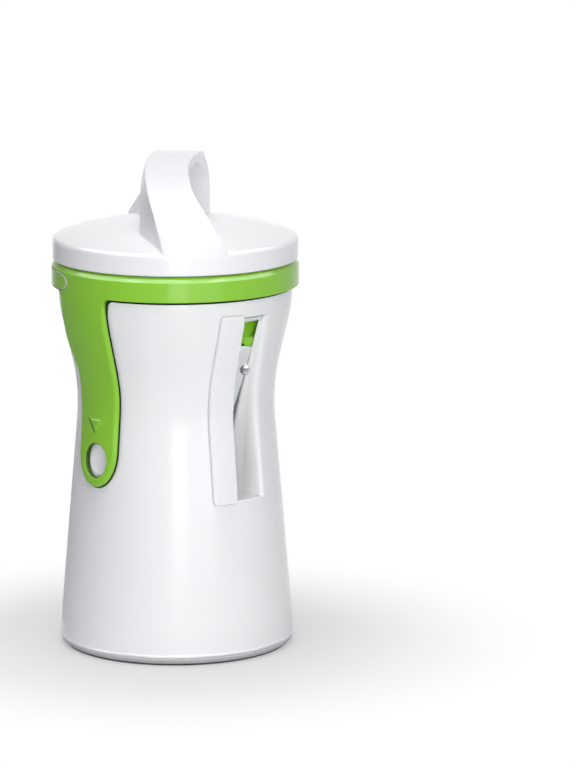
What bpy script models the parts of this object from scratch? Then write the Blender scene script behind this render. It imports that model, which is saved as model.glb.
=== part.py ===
"""Hand-turned spiralizer: hourglass body, green collar with two arms, and a turning cap.

Metres, +Z up. The origin is the centre of the base on the surface that it stands on.
The front, with the exit window, faces -Y, and the two arms lie at -X and +X.
Heights are world heights. A radius is measured from the Z axis, round which the body is turned.
"""
import math

import bmesh
import bpy
from mathutils import Matrix, Vector

MM = 0.001

# Fits and mesh fineness
GAP = 0.3 * MM                      # between neighbouring pieces
SEGMENTS = 40                       # round the large turned pieces
FINE_SEGMENTS = 12                  # round screws, prongs and bosses
ARC_SAG = 0.14 * MM                 # how far an arc's chords may leave the arc
MERGE = 0.001 * MM
REACH = 70.0 * MM                   # how far cutters run past the part
CLEAR = 2.0 * MM                    # how far a short cutter starts outside the face it cuts

# Body shell
WALL = 2.1 * MM
FOOT_RADIUS = 42.35 * MM
FOOT_EDGE_RADIUS = 2.2 * MM
FOOT_LIFT = 0.8 * MM                # shell's lower edge above the floor
FOOT_BEND_HEIGHT = 7.0 * MM
FOOT_BEND_RADIUS = 170.0 * MM
WAIST_RADIUS = 34.9 * MM            # where the lower and the upper cone would meet
WAIST_HEIGHT = 94.6 * MM
WAIST_BEND_RADIUS = 74.0 * MM
NECK_RADIUS = 42.1 * MM
NECK_HEIGHT = 125.2 * MM
NECK_BEND_RADIUS = 45.0 * MM
NECK_TOP = 134.0 * MM
FOOT_FLANGE_WIDTH = 5.1 * MM
FOOT_FLANGE_TOP = 4.6 * MM

# Foot ring
FOOT_RING_WIDTH = 2.2 * MM
FOOT_RING_HEIGHT = 2.4 * MM
FOOT_RING_RADIUS = 39.5 * MM        # to the middle of the ring

# Collar frame
BAND_WALL = 2.1 * MM
BAND_LOW = 131.8 * MM
BAND_BEVEL_HEIGHT = 2.0 * MM
BAND_BEVEL_WIDTH = 1.5 * MM
CREST_HEIGHT = 141.0 * MM
CREST_ROUND = 0.7 * MM
MOUTH_ROUND = 1.4 * MM              # at the foot of the mouth, inside
RIM_WALL = 2.75 * MM                # from the band's outside to the mouth
MOUTH_DEPTH = 2.8 * MM
COLLAR_WALL = 1.6 * MM
COLLAR_TURN = 131.2 * MM            # height at which the funnel's back meets the neck's bore
FUNNEL_START = 134.2 * MM           # below it the collar's inside runs on as the feed cone
ARM_FRONT = 9.7 * MM                # arm's front edge from its centre line
ARM_BACK = 10.2 * MM
ARM_BACK_WIDE = 14.8 * MM           # back edge where the arm widens to the band
ARM_WIDEN_LOW = 102.0 * MM
ARM_WIDEN_HIGH = 117.0 * MM
ARM_END = 62.2 * MM
ARM_END_LENGTH = 13.3 * MM
ARM_END_STEPS = 18
ARM_WIDEN_STEPS = 8
ARM_CORNER = 1.4 * MM
ARM_HOLE_WIDTH = 11.4 * MM
ARM_HOLE_HEIGHT = 12.6 * MM
ARM_HOLE_CENTRE = 72.0 * MM

# Side plates
PLATE_LENGTH = 28.0 * MM
PLATE_WIDTH = 6.2 * MM
PLATE_CENTRE = 135.5 * MM
PLATE_ANGLE = math.radians(30)      # from the arm's centre towards the back
PLATE_DEPTH = 0.8 * MM
PLATE_PROUD = 0.1 * MM
PLATE_END_STEPS = 8

# Exit window, its scoop and the guard beside it
WINDOW_LEFT = -7.5 * MM
WINDOW_RIGHT = 6.6 * MM
WINDOW_LOW = 58.0 * MM
WINDOW_HIGH = 124.8 * MM
DUCT_LEFT = -15.0 * MM
DUCT_WALL = 1.6 * MM
SCOOP_INNER = 1.5 * MM              # where the scoop's sweep ends beside the blade
SCOOP_BOW = 0.12                    # how far the sweep bows out, as a share of its length
SWEEP_STEPS = 4
DUCT_STEPS = 8
DUCT_OVERLAP = 2.0 * MM             # duct's end inside the cone's bore
GUARD_LEFT = -15.2 * MM
GUARD_RIGHT = -5.6 * MM
GUARD_LOW = 57.4 * MM
GUARD_HIGH = 126.0 * MM
GUARD_THICKNESS = 1.3 * MM
GUARD_CORNER = 1.0 * MM
TAB_WIDTH = 2.8 * MM
TAB_HEIGHT = 4.0 * MM
TAB_INSET = 3.6 * MM                # tab's middle from the guard's left edge
TAB_LOW_CENTRE = 68.0 * MM
TAB_HIGH_CENTRE = 90.0 * MM
TAB_BARB = 0.9 * MM
TAB_BARB_LENGTH = 1.4 * MM

# Feed cone
CONE_LOW_RADIUS = 13.0 * MM
CONE_LOW = 56.0 * MM
CONE_HALF_ANGLE = math.radians(18)
CONE_WALL = 1.9 * MM
CONE_END = 50.0 * MM
CONE_TOP = 128.4 * MM
CONE_FLANGE = 1.8 * MM
LEDGE_THICKNESS = 1.5 * MM

# Blades, in the frame of the cone's front line: across, along and out of the cone
BLADE_ANGLE = math.radians(-6)      # of the cutting edge round the cone, from the front
BLADE_CENTRE = 87.0 * MM
BLADE_LENGTH = 55.0 * MM            # length of the slot that the blade and the comb sit over
BLADE_WIDTH = 10.3 * MM
BLADE_THICKNESS = 0.6 * MM
BLADE_TILT = math.radians(22)
BLADE_REACH = 0.8 * MM              # edge inside the cone's inner face
BLADE_BEVEL = 1.6 * MM
SLOT_OPENING = 3.5 * MM             # from the slot's left lip to the blade's edge
SLOT_HEEL = 6.3 * MM                # from the edge to the slot's right lip
RAIL_WIDTH = 3.7 * MM
RAIL_END = 3.0 * MM                 # rail and pad run past each end of the slot
PAD_WIDTH = 6.3 * MM
PAD_RISE = 0.4 * MM
TOOTH_PITCH = 4.5 * MM
COMB_MARGIN = 1.5 * MM              # least room from the comb's end to a tooth
TOOTH_WIDTH = 1.2 * MM
TOOTH_THICKNESS = 0.6 * MM
COMB_WIDTH = 6.4 * MM
BLADE_SCREW_END = 9.5 * MM          # screw's middle from the end of the slot
BLADE_SCREW_INSET = 8.0 * MM        # from the cutting edge
COMB_SCREW_INSET = 3.3 * MM         # from the slot's left lip
SMALL_HEAD_RADIUS = 1.9 * MM
SMALL_HEAD_HEIGHT = 0.9 * MM
SMALL_SHANK_RADIUS = 0.9 * MM
SMALL_SCREW_LENGTH = 2.4 * MM
BAY_HEIGHT = 2.8 * MM               # room over the cone for blades and screw heads
BAY_MARGIN = 2.5 * MM
BAY_DEPTH = 6.0 * MM                # below the cone's outside, past both of its faces
SCREW_HEAD_SIDE = 0.45              # head's straight side, as a share of its height
SCREW_HEAD_FLAT = 0.7               # head's flat top, as a share of its radius
SCREW_SLOT_LENGTH = 0.6             # half the slot, as shares of the head's radius
SCREW_SLOT_WIDTH = 0.16
SCREW_SLOT_FLOOR = 0.4              # as a share of the head's height

# Release buttons, their springs and carriers
BUTTON_PROUD = 0.6 * MM
BUTTON_TRAVEL = 2.0 * MM
BUTTON_PLAY = 0.25 * MM
BUTTON_DISH = 0.75 * MM
BUTTON_DISH_RADIUS = 14.0 * MM
DISH_STEPS = 8
DISH_SEGMENTS = 24
DISH_HALF_ANGLE = math.radians(45)
BUTTON_FLANGE_LIP = 1.5 * MM
BUTTON_FLANGE = 1.2 * MM
BUTTON_STEM_RADIUS = 2.2 * MM
STEM_SEGMENTS = 20
SPRING_ROOM = 6.0 * MM
SPRING_WIRE = 0.7 * MM
SPRING_RADIUS = 3.3 * MM            # to the middle of the wire
SPRING_TURNS = 3
SPRING_POINTS = 8                  # to each turn
CARRIER_THICKNESS = 1.6 * MM
CARRIER_HEIGHT = 12.0 * MM
CARRIER_SCREW_SPREAD = 14.5 * MM
CARRIER_EDGE = 3.0 * MM             # from a screw's middle to the carrier's end
BOSS_RADIUS = 2.6 * MM
CARRIER_SCREW_LENGTH = 5.0 * MM

# Cap
CAP_INSET = 0.3 * MM                # cap's side inside the band's outside
CAP_SIDE = 7.9 * MM
CAP_SHOULDER = 2.2 * MM
CAP_LOWER_EDGE = 0.7 * MM
CAP_RISE = 5.8 * MM                 # dome above the top of the side
CAP_DOME_POWER = 3.2                # the dome falls as this power of the radius
DOME_EDGE = 0.88                    # dome's outermost point, as a share of the cap's radius
SHOULDER_RUN = 0.8                  # where the shoulder's arc points to, as such a share
ROOF_EDGE = 0.94                    # hollow's outermost point, as a share of its bore
DOME_STEPS = 5
CAP_WALL = 2.3 * MM
CAP_BOSS_RADIUS = 4.2 * MM
CAP_RIB_WIDTH = 1.4 * MM
RING_WALL = 2.0 * MM
RING_DROP = 2.7 * MM                # ring below the cap's lower edge
RING_INSET = 0.35 * MM              # ring's outside from the collar's mouth
RING_EDGE = 0.5 * MM
RING_LIP = 1.8 * MM
RING_LIP_THICKNESS = 1.6 * MM
RING_RISE = 2.7 * MM                # ring above the cap's lower edge
PRONG_PLATE_THICKNESS = 2.2 * MM
PRONG_COUNT = 6
PRONG_CIRCLE = 12.0 * MM
PRONG_RADIUS = 1.1 * MM
PRONG_LENGTH = 18.0 * MM
PRONG_TIP = 4.0 * MM
PRONG_BOSS_RADIUS = 2.6 * MM
PRONG_BOSS_DROP = 2.5 * MM
PRONG_SEAT = 1.4 * MM
CAP_SCREW_HEAD_RADIUS = 3.0 * MM
CAP_SCREW_HEAD_HEIGHT = 1.6 * MM
CAP_SCREW_SHANK_RADIUS = 1.25 * MM
CAP_SCREW_LENGTH = 8.5 * MM

# Handle. Its outer face runs over the arch from the front foot to the back foot, and each edge
# is given by its sideways places at equal steps of the arch's angle from the foot to the top.
# The back half is the front half turned half round, so the top's two places are equal.
HANDLE_TURN = math.radians(-43.3)   # of the arch from the front
HANDLE_START = math.radians(-3)     # arch's angle at its sunk foot
HANDLE_HEIGHT = 38.1 * MM           # above the cap's lower edge
HANDLE_FOOT = 5.6 * MM              # foot of the arch above the cap's lower edge
HANDLE_INSET = 0.35 * MM            # outer face inside the cap's side at the foot
HANDLE_THICKNESS = 4.8 * MM         # at the top
HANDLE_INNER_LEFT_SPAN = 26.5 * MM  # inner edges' feet from the axis, along the arch
HANDLE_INNER_RIGHT_SPAN = 22.0 * MM
HANDLE_EDGE = 0.8 * MM              # rounding of the edges
HANDLE_EDGE_SHARE = 0.3             # edge's middle point between its corner and its two ends
HANDLE_STEPS = 26
HANDLE_FACE_STEPS = 4
HANDLE_OUTER_LEFT = [-3.1 * MM, -5.8 * MM, -9.1 * MM, -10.2 * MM, -8.3 * MM]
HANDLE_OUTER_RIGHT = [20.5 * MM, 13.8 * MM, 7.1 * MM, 5.2 * MM, 8.3 * MM]
HANDLE_INNER_LEFT = [-12.1 * MM, -12.2 * MM, -12.2 * MM, -11.6 * MM, -9.4 * MM]
HANDLE_INNER_RIGHT = [8.0 * MM, 6.0 * MM, 4.4 * MM, 5.6 * MM, 9.4 * MM]

# Derived places that several pieces share
BODY_GAP_RADIUS = NECK_RADIUS + GAP
BAND_RADIUS = BODY_GAP_RADIUS + BAND_WALL
MOUTH_RADIUS = BAND_RADIUS - RIM_WALL
ARM_THICKNESS = BAND_RADIUS - BODY_GAP_RADIUS
CONE_FLANGE_LOW = CONE_TOP - CONE_FLANGE
LEDGE_TOP = CONE_FLANGE_LOW - GAP
RAIL_LENGTH = BLADE_LENGTH + 2 * RAIL_END
BLADE_SCREW_SPREAD = BLADE_LENGTH / 2 - BLADE_SCREW_END
CAP_RADIUS = BAND_RADIUS - CAP_INSET
CAP_SEAT = CREST_HEIGHT + GAP
CAP_SHOULDER_HEIGHT = CAP_SEAT + CAP_SIDE
CAP_TOP = CAP_SHOULDER_HEIGHT + CAP_RISE
RING_RADIUS = MOUTH_RADIUS - RING_INSET
RING_TOP = CAP_SEAT + RING_RISE
RING_LIP_LOW = RING_TOP - RING_LIP_THICKNESS
PLATE_TOP = RING_LIP_LOW - GAP
PLATE_LOW = PLATE_TOP - PRONG_PLATE_THICKNESS


def material(name, colour, roughness, metallic=0.0):
    """Plain Principled material of one colour."""
    finish = bpy.data.materials.new(name)
    finish.use_nodes = True
    shader = finish.node_tree.nodes["Principled BSDF"]
    shader.inputs["Base Color"].default_value = (*colour, 1.0)
    shader.inputs["Roughness"].default_value = roughness
    shader.inputs["Metallic"].default_value = metallic
    return finish


def add_object(name, bm, finish=None, place=None):
    """Object from a bmesh, shaded smooth where its faces meet at a shallow angle."""
    bmesh.ops.recalc_face_normals(bm, faces=bm.faces)
    mesh = bpy.data.meshes.new(name)
    bm.to_mesh(mesh)
    bm.free()
    mesh.shade_smooth()
    mesh.set_sharp_from_angle(angle=math.radians(35))
    if finish is not None:
        mesh.materials.append(finish)
    thing = bpy.data.objects.new(name, mesh)
    bpy.context.scene.collection.objects.link(thing)
    if place is not None:
        thing.matrix_world = place
    return thing


def carry(parent, *children):
    """Parents the children where they stand."""
    for child in children:
        child.parent = parent
        child.matrix_parent_inverse = parent.matrix_world.inverted()


def joint_empty(name, place, parent=None):
    """Empty on a joint's axis, for the pieces that move with it."""
    empty = bpy.data.objects.new(name, None)
    empty.location = place
    bpy.context.scene.collection.objects.link(empty)
    bpy.context.view_layer.update()
    if parent is not None:
        carry(parent, empty)
    return empty


def boolean(target, operand, operation):
    """Joins, cuts or trims target by operand, which is then only a guide."""
    step = target.modifiers.new(operation.lower(), "BOOLEAN")
    step.operation = operation
    step.object = operand
    step.solver = "EXACT"
    operand.hide_render = True
    operand.display_type = "WIRE"
    carry(target, operand)
    return target


def cut(target, *cutters):
    for cutter in cutters:
        boolean(target, cutter, "DIFFERENCE")
    return target


def join(target, *additions):
    for addition in additions:
        boolean(target, addition, "UNION")
    return target


def trim(target, limit):
    return boolean(target, limit, "INTERSECT")


def rounded_path(corners, radii):
    """Polyline through corners, each bent to an arc of its radius where that isn't 0."""
    points = []
    for index, (corner, radius) in enumerate(zip(corners, radii)):
        here = Vector(corner)
        if radius == 0:
            points.append(here)
            continue
        back = (Vector(corners[index - 1]) - here).normalized()
        ahead = (Vector(corners[(index + 1) % len(corners)]) - here).normalized()
        turn = math.pi - back.angle(ahead)
        reach = radius * math.tan(turn / 2)
        centre = here + (back + ahead).normalized() * radius / math.cos(turn / 2)
        steps = max(2, math.ceil(turn / (2 * math.acos(1 - ARC_SAG / radius))))
        start = here + back * reach - centre
        way = math.copysign(turn, start.x * ahead.y - start.y * ahead.x)
        for step in range(steps + 1):
            spoke = start.copy()
            spoke.rotate(Matrix.Rotation(way * step / steps, 2))
            points.append(centre + spoke)
    return [(point.x, point.y) for point in points]


def turned(name, outline, finish=None, closed=True, segments=SEGMENTS, place=None):
    """Solid turned round Z from (radius, height) points. An open outline ends on the axis."""
    bm = bmesh.new()
    verts = [bm.verts.new((radius, 0, height)) for radius, height in outline]
    edges = [bm.edges.new(pair) for pair in zip(verts, verts[1:])]
    if closed:
        edges.append(bm.edges.new((verts[-1], verts[0])))
    bmesh.ops.spin(bm, geom=verts + edges, cent=(0, 0, 0), axis=(0, 0, 1),
                   angle=math.tau, steps=segments, use_merge=True)
    bmesh.ops.remove_doubles(bm, verts=bm.verts, dist=MERGE)
    return add_object(name, bm, finish, place)


def prism(name, outline, low, high, finish=None, place=None):
    """Outline in the local XY plane, raised from low to high along local Z."""
    bm = bmesh.new()
    face = bm.faces.new([bm.verts.new((x, y, low)) for x, y in outline])
    raised = bmesh.ops.extrude_face_region(bm, geom=[face])["geom"]
    moved = [item for item in raised if isinstance(item, bmesh.types.BMVert)]
    bmesh.ops.translate(bm, verts=moved, vec=(0, 0, high - low))
    return add_object(name, bm, finish, place)


def box(name, low, high, finish=None, place=None):
    outline = [(low[0], low[1]), (high[0], low[1]), (high[0], high[1]), (low[0], high[1])]
    return prism(name, outline, low[2], high[2], finish, place)


def loft(name, rings, finish=None, place=None):
    """Closed solid through rings of points, all with the same count, capped at both ends."""
    bm = bmesh.new()
    loops = [[bm.verts.new(point) for point in ring] for ring in rings]
    for lower, upper in zip(loops, loops[1:]):
        for index in range(len(lower)):
            after = (index + 1) % len(lower)
            bm.faces.new((lower[index], lower[after], upper[after], upper[index]))
    bm.faces.new(loops[0])
    bm.faces.new(loops[-1])
    bmesh.ops.triangulate(bm, faces=[face for face in bm.faces if len(face.verts) > 4])
    return add_object(name, bm, finish, place)


def oval(width, height, count=28):
    return [(width / 2 * math.cos(math.tau * step / count),
             height / 2 * math.sin(math.tau * step / count)) for step in range(count)]


def frame(origin, across, up, out):
    """Placement whose local X, Y and Z run along across, up and out."""
    place = Matrix((across, up, out)).transposed().to_4x4()
    place.translation = origin
    return place


def body_path(low, high):
    """Outside of the body shell as (radius, height) points from low to high."""
    corners = [(FOOT_RADIUS, 0), (FOOT_RADIUS, FOOT_BEND_HEIGHT), (WAIST_RADIUS, WAIST_HEIGHT),
               (NECK_RADIUS, NECK_HEIGHT), (NECK_RADIUS, CREST_HEIGHT)]
    path = rounded_path(corners, [0, FOOT_BEND_RADIUS, WAIST_BEND_RADIUS, NECK_BEND_RADIUS, 0])
    inside = [point for point in path if low + MERGE < point[1] < high - MERGE]
    ends = []
    for height in (low, high):
        for (r0, z0), (r1, z1) in zip(path, path[1:]):
            if z0 <= height <= z1:
                ends.append((r0 + (r1 - r0) * (height - z0) / (z1 - z0), height))
                break
    return [ends[0]] + inside + [ends[1]]


def body_radius(height):
    return body_path(height, NECK_TOP)[0][0]


def offset(path, distance):
    return [(radius + distance, height) for radius, height in path]


def cone_radius(height):
    """Inside of the feed cone."""
    return CONE_LOW_RADIUS + (height - CONE_LOW) * math.tan(CONE_HALF_ANGLE)


def body_layer(name, inner, outer, low, high, finish=None):
    """Turned skin round the body between two distances from its outside."""
    path = body_path(low, high)
    return turned(name, offset(path, outer) + offset(path, inner)[::-1], finish)


def front_prism(name, outline, low, high, finish=None):
    """Outline seen from the front, in X and height, run from Y low to Y high."""
    place = frame(Vector((0, 0, 0)), Vector((1, 0, 0)), Vector((0, 0, 1)), Vector((0, -1, 0)))
    return prism(name, outline, -high, -low, finish, place)


def side_prism(name, outline, low, high, finish=None):
    """Outline seen from the side, in Y and height, run from X low to X high."""
    place = frame(Vector((0, 0, 0)), Vector((0, 1, 0)), Vector((0, 0, 1)), Vector((1, 0, 0)))
    return prism(name, outline, low, high, finish, place)


def duct_points(height, wall):
    """Plan of the exit duct at one height, grown by wall. The front is -Y."""
    shell = body_radius(height)
    cone = cone_radius(height) + CONE_WALL
    inside = shell - WALL + (WALL / 2 if wall else 0)
    left = DUCT_LEFT - wall
    right = WINDOW_RIGHT + wall
    sweep_end = SCOOP_INNER + wall
    deep = -(cone - CONE_WALL - DUCT_OVERLAP)
    shell_y = -math.sqrt(shell ** 2 - right ** 2) + (WALL / 2 if wall else 0)
    inner = Vector((sweep_end, -math.sqrt(cone ** 2 - sweep_end ** 2) - GAP))
    outer = Vector((right, shell_y))
    bow = (outer - inner).orthogonal() * SCOOP_BOW
    shares = [step / SWEEP_STEPS for step in range(SWEEP_STEPS + 1)]
    sweep = [inner.lerp(outer, share) + bow * math.sin(math.pi * share) for share in shares]
    if wall:
        front = [(right, shell_y), (left, -math.sqrt(inside ** 2 - left ** 2))]
        front.insert(1, ((left + right) / 2, -inside))
    else:
        front = [(right, -REACH), (WINDOW_LEFT, -REACH),
                 (WINDOW_LEFT, -math.sqrt(inside ** 2 - WINDOW_LEFT ** 2)),
                 (left, -math.sqrt(inside ** 2 - left ** 2))]
    return [(sweep_end, deep)] + [tuple(point) for point in sweep] + front + [(left, deep)]


def duct(name, low, high, wall):
    rings = []
    for step in range(DUCT_STEPS + 1):
        height = low + (high - low) * step / DUCT_STEPS
        rings.append([(x, y, height) for x, y in duct_points(height, wall)])
    return loft(name, rings)


def blade_frame():
    """On the cone's outside at the cutting edge: X across, Y up along the cone, Z out of it."""
    sine, cosine = math.sin(BLADE_ANGLE), math.cos(BLADE_ANGLE)
    outward = Vector((sine, -cosine, 0))
    upward = Vector((0, 0, 1))
    along = outward * math.sin(CONE_HALF_ANGLE) + upward * math.cos(CONE_HALF_ANGLE)
    out = outward * math.cos(CONE_HALF_ANGLE) - upward * math.sin(CONE_HALF_ANGLE)
    origin = outward * (cone_radius(BLADE_CENTRE) + CONE_WALL) + upward * BLADE_CENTRE
    return frame(origin, Vector((cosine, sine, 0)), along, out)


def along_blade(name, section, length, finish=None):
    """Section in the blade frame's X and Z, run along the cone for length about its middle."""
    turn = Matrix(((1, 0, 0, 0), (0, 0, -1, 0), (0, 1, 0, 0), (0, 0, 0, 1)))
    return prism(name, section, -length / 2, length / 2, finish, blade_frame() @ turn)


def screw(name, place, length, head_radius, head_height, shank_radius, finish):
    """Pan-head screw. Local Z points out of the head, and the head's seat is at 0."""
    outline = [(0, -length), (shank_radius, -length + shank_radius), (shank_radius, 0),
               (head_radius, 0), (head_radius, head_height * SCREW_HEAD_SIDE),
               (head_radius * SCREW_HEAD_FLAT, head_height), (0, head_height)]
    thing = turned(name, outline, finish, closed=False, segments=FINE_SEGMENTS, place=place)
    half_length, half_width = head_radius * SCREW_SLOT_LENGTH, head_radius * SCREW_SLOT_WIDTH
    slot = [(half_length, half_width), (-half_length, half_width), (-half_length, -half_width),
             (half_length, -half_width)]
    groove = prism(name + "_slot", slot, head_height * SCREW_SLOT_FLOOR, head_height + CLEAR,
                   place=place)
    return cut(thing, groove)


def hole(name, place, radius, depth):
    """Round cutter that runs depth below its place and a little above it."""
    return prism(name, oval(2 * radius, 2 * radius, FINE_SEGMENTS), -depth, CLEAR, place=place)


def make_body_shell(finish):
    outer = body_path(FOOT_LIFT, NECK_TOP)
    foot = rounded_path([(FOOT_RADIUS - FOOT_FLANGE_WIDTH, FOOT_LIFT), (FOOT_RADIUS, FOOT_LIFT),
                         (FOOT_RADIUS, FOOT_BEND_HEIGHT)], [0, FOOT_EDGE_RADIUS, 0])[:-1]
    outer = [point for point in outer if point[1] > FOOT_LIFT + FOOT_EDGE_RADIUS]
    ledge_low = LEDGE_TOP - LEDGE_THICKNESS
    bore = cone_radius(LEDGE_TOP) + CONE_WALL + GAP
    above = offset(body_path(LEDGE_TOP, NECK_TOP), -WALL)[::-1]
    below = offset(body_path(FOOT_FLANGE_TOP + WALL, ledge_low), -WALL)[::-1]
    flange = FOOT_RADIUS - FOOT_FLANGE_WIDTH
    outline = foot + outer + above + [(bore, LEDGE_TOP), (bore, ledge_low)] + below
    outline += [(flange, FOOT_FLANGE_TOP)]
    shell = turned("body_shell", outline, finish)

    housing = duct("duct_housing", WINDOW_LOW - DUCT_WALL, ledge_low + LEDGE_THICKNESS / 2, DUCT_WALL)
    bay_length = RAIL_LENGTH + 2 * GAP
    half_width = BLADE_WIDTH + BAY_MARGIN
    bay = box("blade_bay", (-half_width, -bay_length / 2, -BAY_DEPTH),
              (half_width, bay_length / 2, BAY_HEIGHT), place=blade_frame())
    cut(housing, bay)
    bosses = [make_boss(side, end) for side in (-1, 1) for end in (-1, 1)]
    join(shell, housing, *bosses)

    clearance = CONE_WALL + GAP
    cone_room = turned("cone_room", [(0, CONE_END), (CONE_LOW_RADIUS + clearance, CONE_END),
                                     (CONE_LOW_RADIUS + clearance, CONE_LOW),
                                     (cone_radius(LEDGE_TOP + GAP) + clearance, LEDGE_TOP + GAP),
                                     (0, LEDGE_TOP + GAP)], closed=False)
    space = duct("duct_space", WINDOW_LOW, ledge_low, 0)
    cut(shell, space, cone_room)
    groove_inner = FOOT_RING_RADIUS - FOOT_RING_WIDTH / 2 - GAP
    groove_outer = FOOT_RING_RADIUS + FOOT_RING_WIDTH / 2 + GAP
    groove_top = FOOT_RING_HEIGHT + GAP
    groove = turned("foot_groove", [(groove_inner, -CLEAR), (groove_outer, -CLEAR),
                                    (groove_outer, groove_top), (groove_inner, groove_top)])
    button_hole = oval(ARM_HOLE_WIDTH - 2 * BUTTON_PLAY, ARM_HOLE_HEIGHT - 2 * BUTTON_PLAY)
    button_hole = [(x, y + ARM_HOLE_CENTRE) for x, y in button_hole]
    for side, name in ((-1, "left"), (1, "right")):
        inside = body_radius(ARM_HOLE_CENTRE) - WALL - CLEAR
        low, high = sorted((side * inside, side * REACH))
        cut(shell, side_prism("button_hole_" + name, button_hole, low, high))
    for end, name in ((-1, "low"), (1, "high")):
        low, high = tab_box(end, GAP)
        cut(shell, box("tab_slot_" + name, low, high))
    for side in (-1, 1):
        for end in (-1, 1):
            pilot = hole(f"boss_pilot_{side}_{end}", boss_frame(side, end, 0),
                         SMALL_SHANK_RADIUS + GAP / 2, CARRIER_SCREW_LENGTH)
            cut(shell, pilot)
    return cut(shell, groove)


def carrier_distance():
    """Distance from the axis to the carrier's outer face."""
    flange_face = math.sqrt((body_radius(ARM_HOLE_CENTRE) - WALL) ** 2
                            - (ARM_HOLE_WIDTH / 2 + BUTTON_FLANGE_LIP) ** 2) - GAP
    return flange_face - BUTTON_FLANGE - SPRING_ROOM


def boss_frame(side, end, lift):
    """At a carrier screw, on the boss's inner face: local Z points to the axis."""
    distance = carrier_distance() + GAP - lift
    origin = Vector((side * distance, end * CARRIER_SCREW_SPREAD, ARM_HOLE_CENTRE))
    return frame(origin, Vector((0, -side, 0)), Vector((0, 0, 1)), Vector((-side, 0, 0)))


def make_boss(side, end):
    """Round boss on the shell's inside, long enough to end within the shell's wall."""
    inner = body_radius(ARM_HOLE_CENTRE) - WALL
    wall_x = math.sqrt(inner ** 2 - CARRIER_SCREW_SPREAD ** 2)
    depth = wall_x + WALL / 2 - carrier_distance() - GAP
    outline = oval(2 * BOSS_RADIUS, 2 * BOSS_RADIUS, FINE_SEGMENTS)
    return prism(f"boss_{side}_{end}", outline, -depth, 0, place=boss_frame(side, end, 0))


def tab_box(end, grow):
    """Corners of the guard's lower (-1) or upper (1) tab, which runs in through the shell."""
    x = GUARD_LEFT + TAB_INSET
    z = TAB_LOW_CENTRE if end < 0 else TAB_HIGH_CENTRE
    half_x, half_z = TAB_WIDTH / 2 + grow, TAB_HEIGHT / 2 + grow
    narrowest = min(body_radius(height) for height in (z - TAB_HEIGHT, z + TAB_HEIGHT)) - WALL
    back = TAB_BARB_LENGTH + GAP - math.sqrt(narrowest ** 2 - (abs(x) + half_x) ** 2)
    return (x - half_x, -REACH, z - half_z), (x + half_x, back + grow, z + half_z)


def make_exit_guard(finish):
    guard = body_layer("exit_guard", GAP, GAP + GUARD_THICKNESS, GUARD_LOW - CLEAR,
                       GUARD_HIGH + CLEAR, finish)
    corners = [(GUARD_LEFT, GUARD_LOW), (GUARD_RIGHT, GUARD_LOW),
               (GUARD_RIGHT, GUARD_HIGH), (GUARD_LEFT, GUARD_HIGH)]
    outline = rounded_path(corners, [GUARD_CORNER] * len(corners))
    trim(guard, front_prism("guard_outline", outline, -REACH, 0))
    for end, name in ((-1, "low"), (1, "high")):
        low, high = tab_box(end, 0)
        tab = box("guard_tab_" + name, low, high)
        path = offset(body_path(GUARD_LOW, GUARD_HIGH), GAP + GUARD_THICKNESS / 2)
        trim(tab, turned("tab_limit_" + name, [(0, GUARD_LOW)] + path + [(0, GUARD_HIGH)],
                         closed=False))
        barb_low = (low[0], high[1] - TAB_BARB_LENGTH, low[2])
        barb_high = (high[0], high[1], high[2] + TAB_BARB)
        join(guard, join(tab, box("guard_barb_" + name, barb_low, barb_high)))
    return guard


def arm_gap_outline():
    """Everything below the band that isn't arm, seen from the side: Y and height."""
    corner_top = BAND_LOW
    front, back = -ARM_FRONT, ARM_BACK
    waist = ARM_END + ARM_END_LENGTH
    corners = [(-REACH, corner_top), (front, corner_top), (front, waist)]
    outline = rounded_path(corners, [0, ARM_CORNER, 0])
    middle, half = (front + back) / 2, (back - front) / 2
    for step in range(1, ARM_END_STEPS):
        angle = math.pi * step / ARM_END_STEPS
        outline.append((middle - half * math.cos(angle), waist - ARM_END_LENGTH * math.sin(angle)))
    outline.append((back, waist))
    for step in range(ARM_WIDEN_STEPS + 1):
        share = step / ARM_WIDEN_STEPS
        ease = share * share * (3 - 2 * share)
        outline.append((back + (ARM_BACK_WIDE - back) * ease,
                        ARM_WIDEN_LOW + (ARM_WIDEN_HIGH - ARM_WIDEN_LOW) * share))
    corners = [(ARM_BACK_WIDE, ARM_WIDEN_HIGH), (ARM_BACK_WIDE, corner_top), (REACH, corner_top)]
    outline += rounded_path(corners, [0, ARM_CORNER, 0])[1:]
    floor = ARM_END - 2 * CLEAR
    return outline + [(REACH, floor), (-REACH, floor)]


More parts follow.
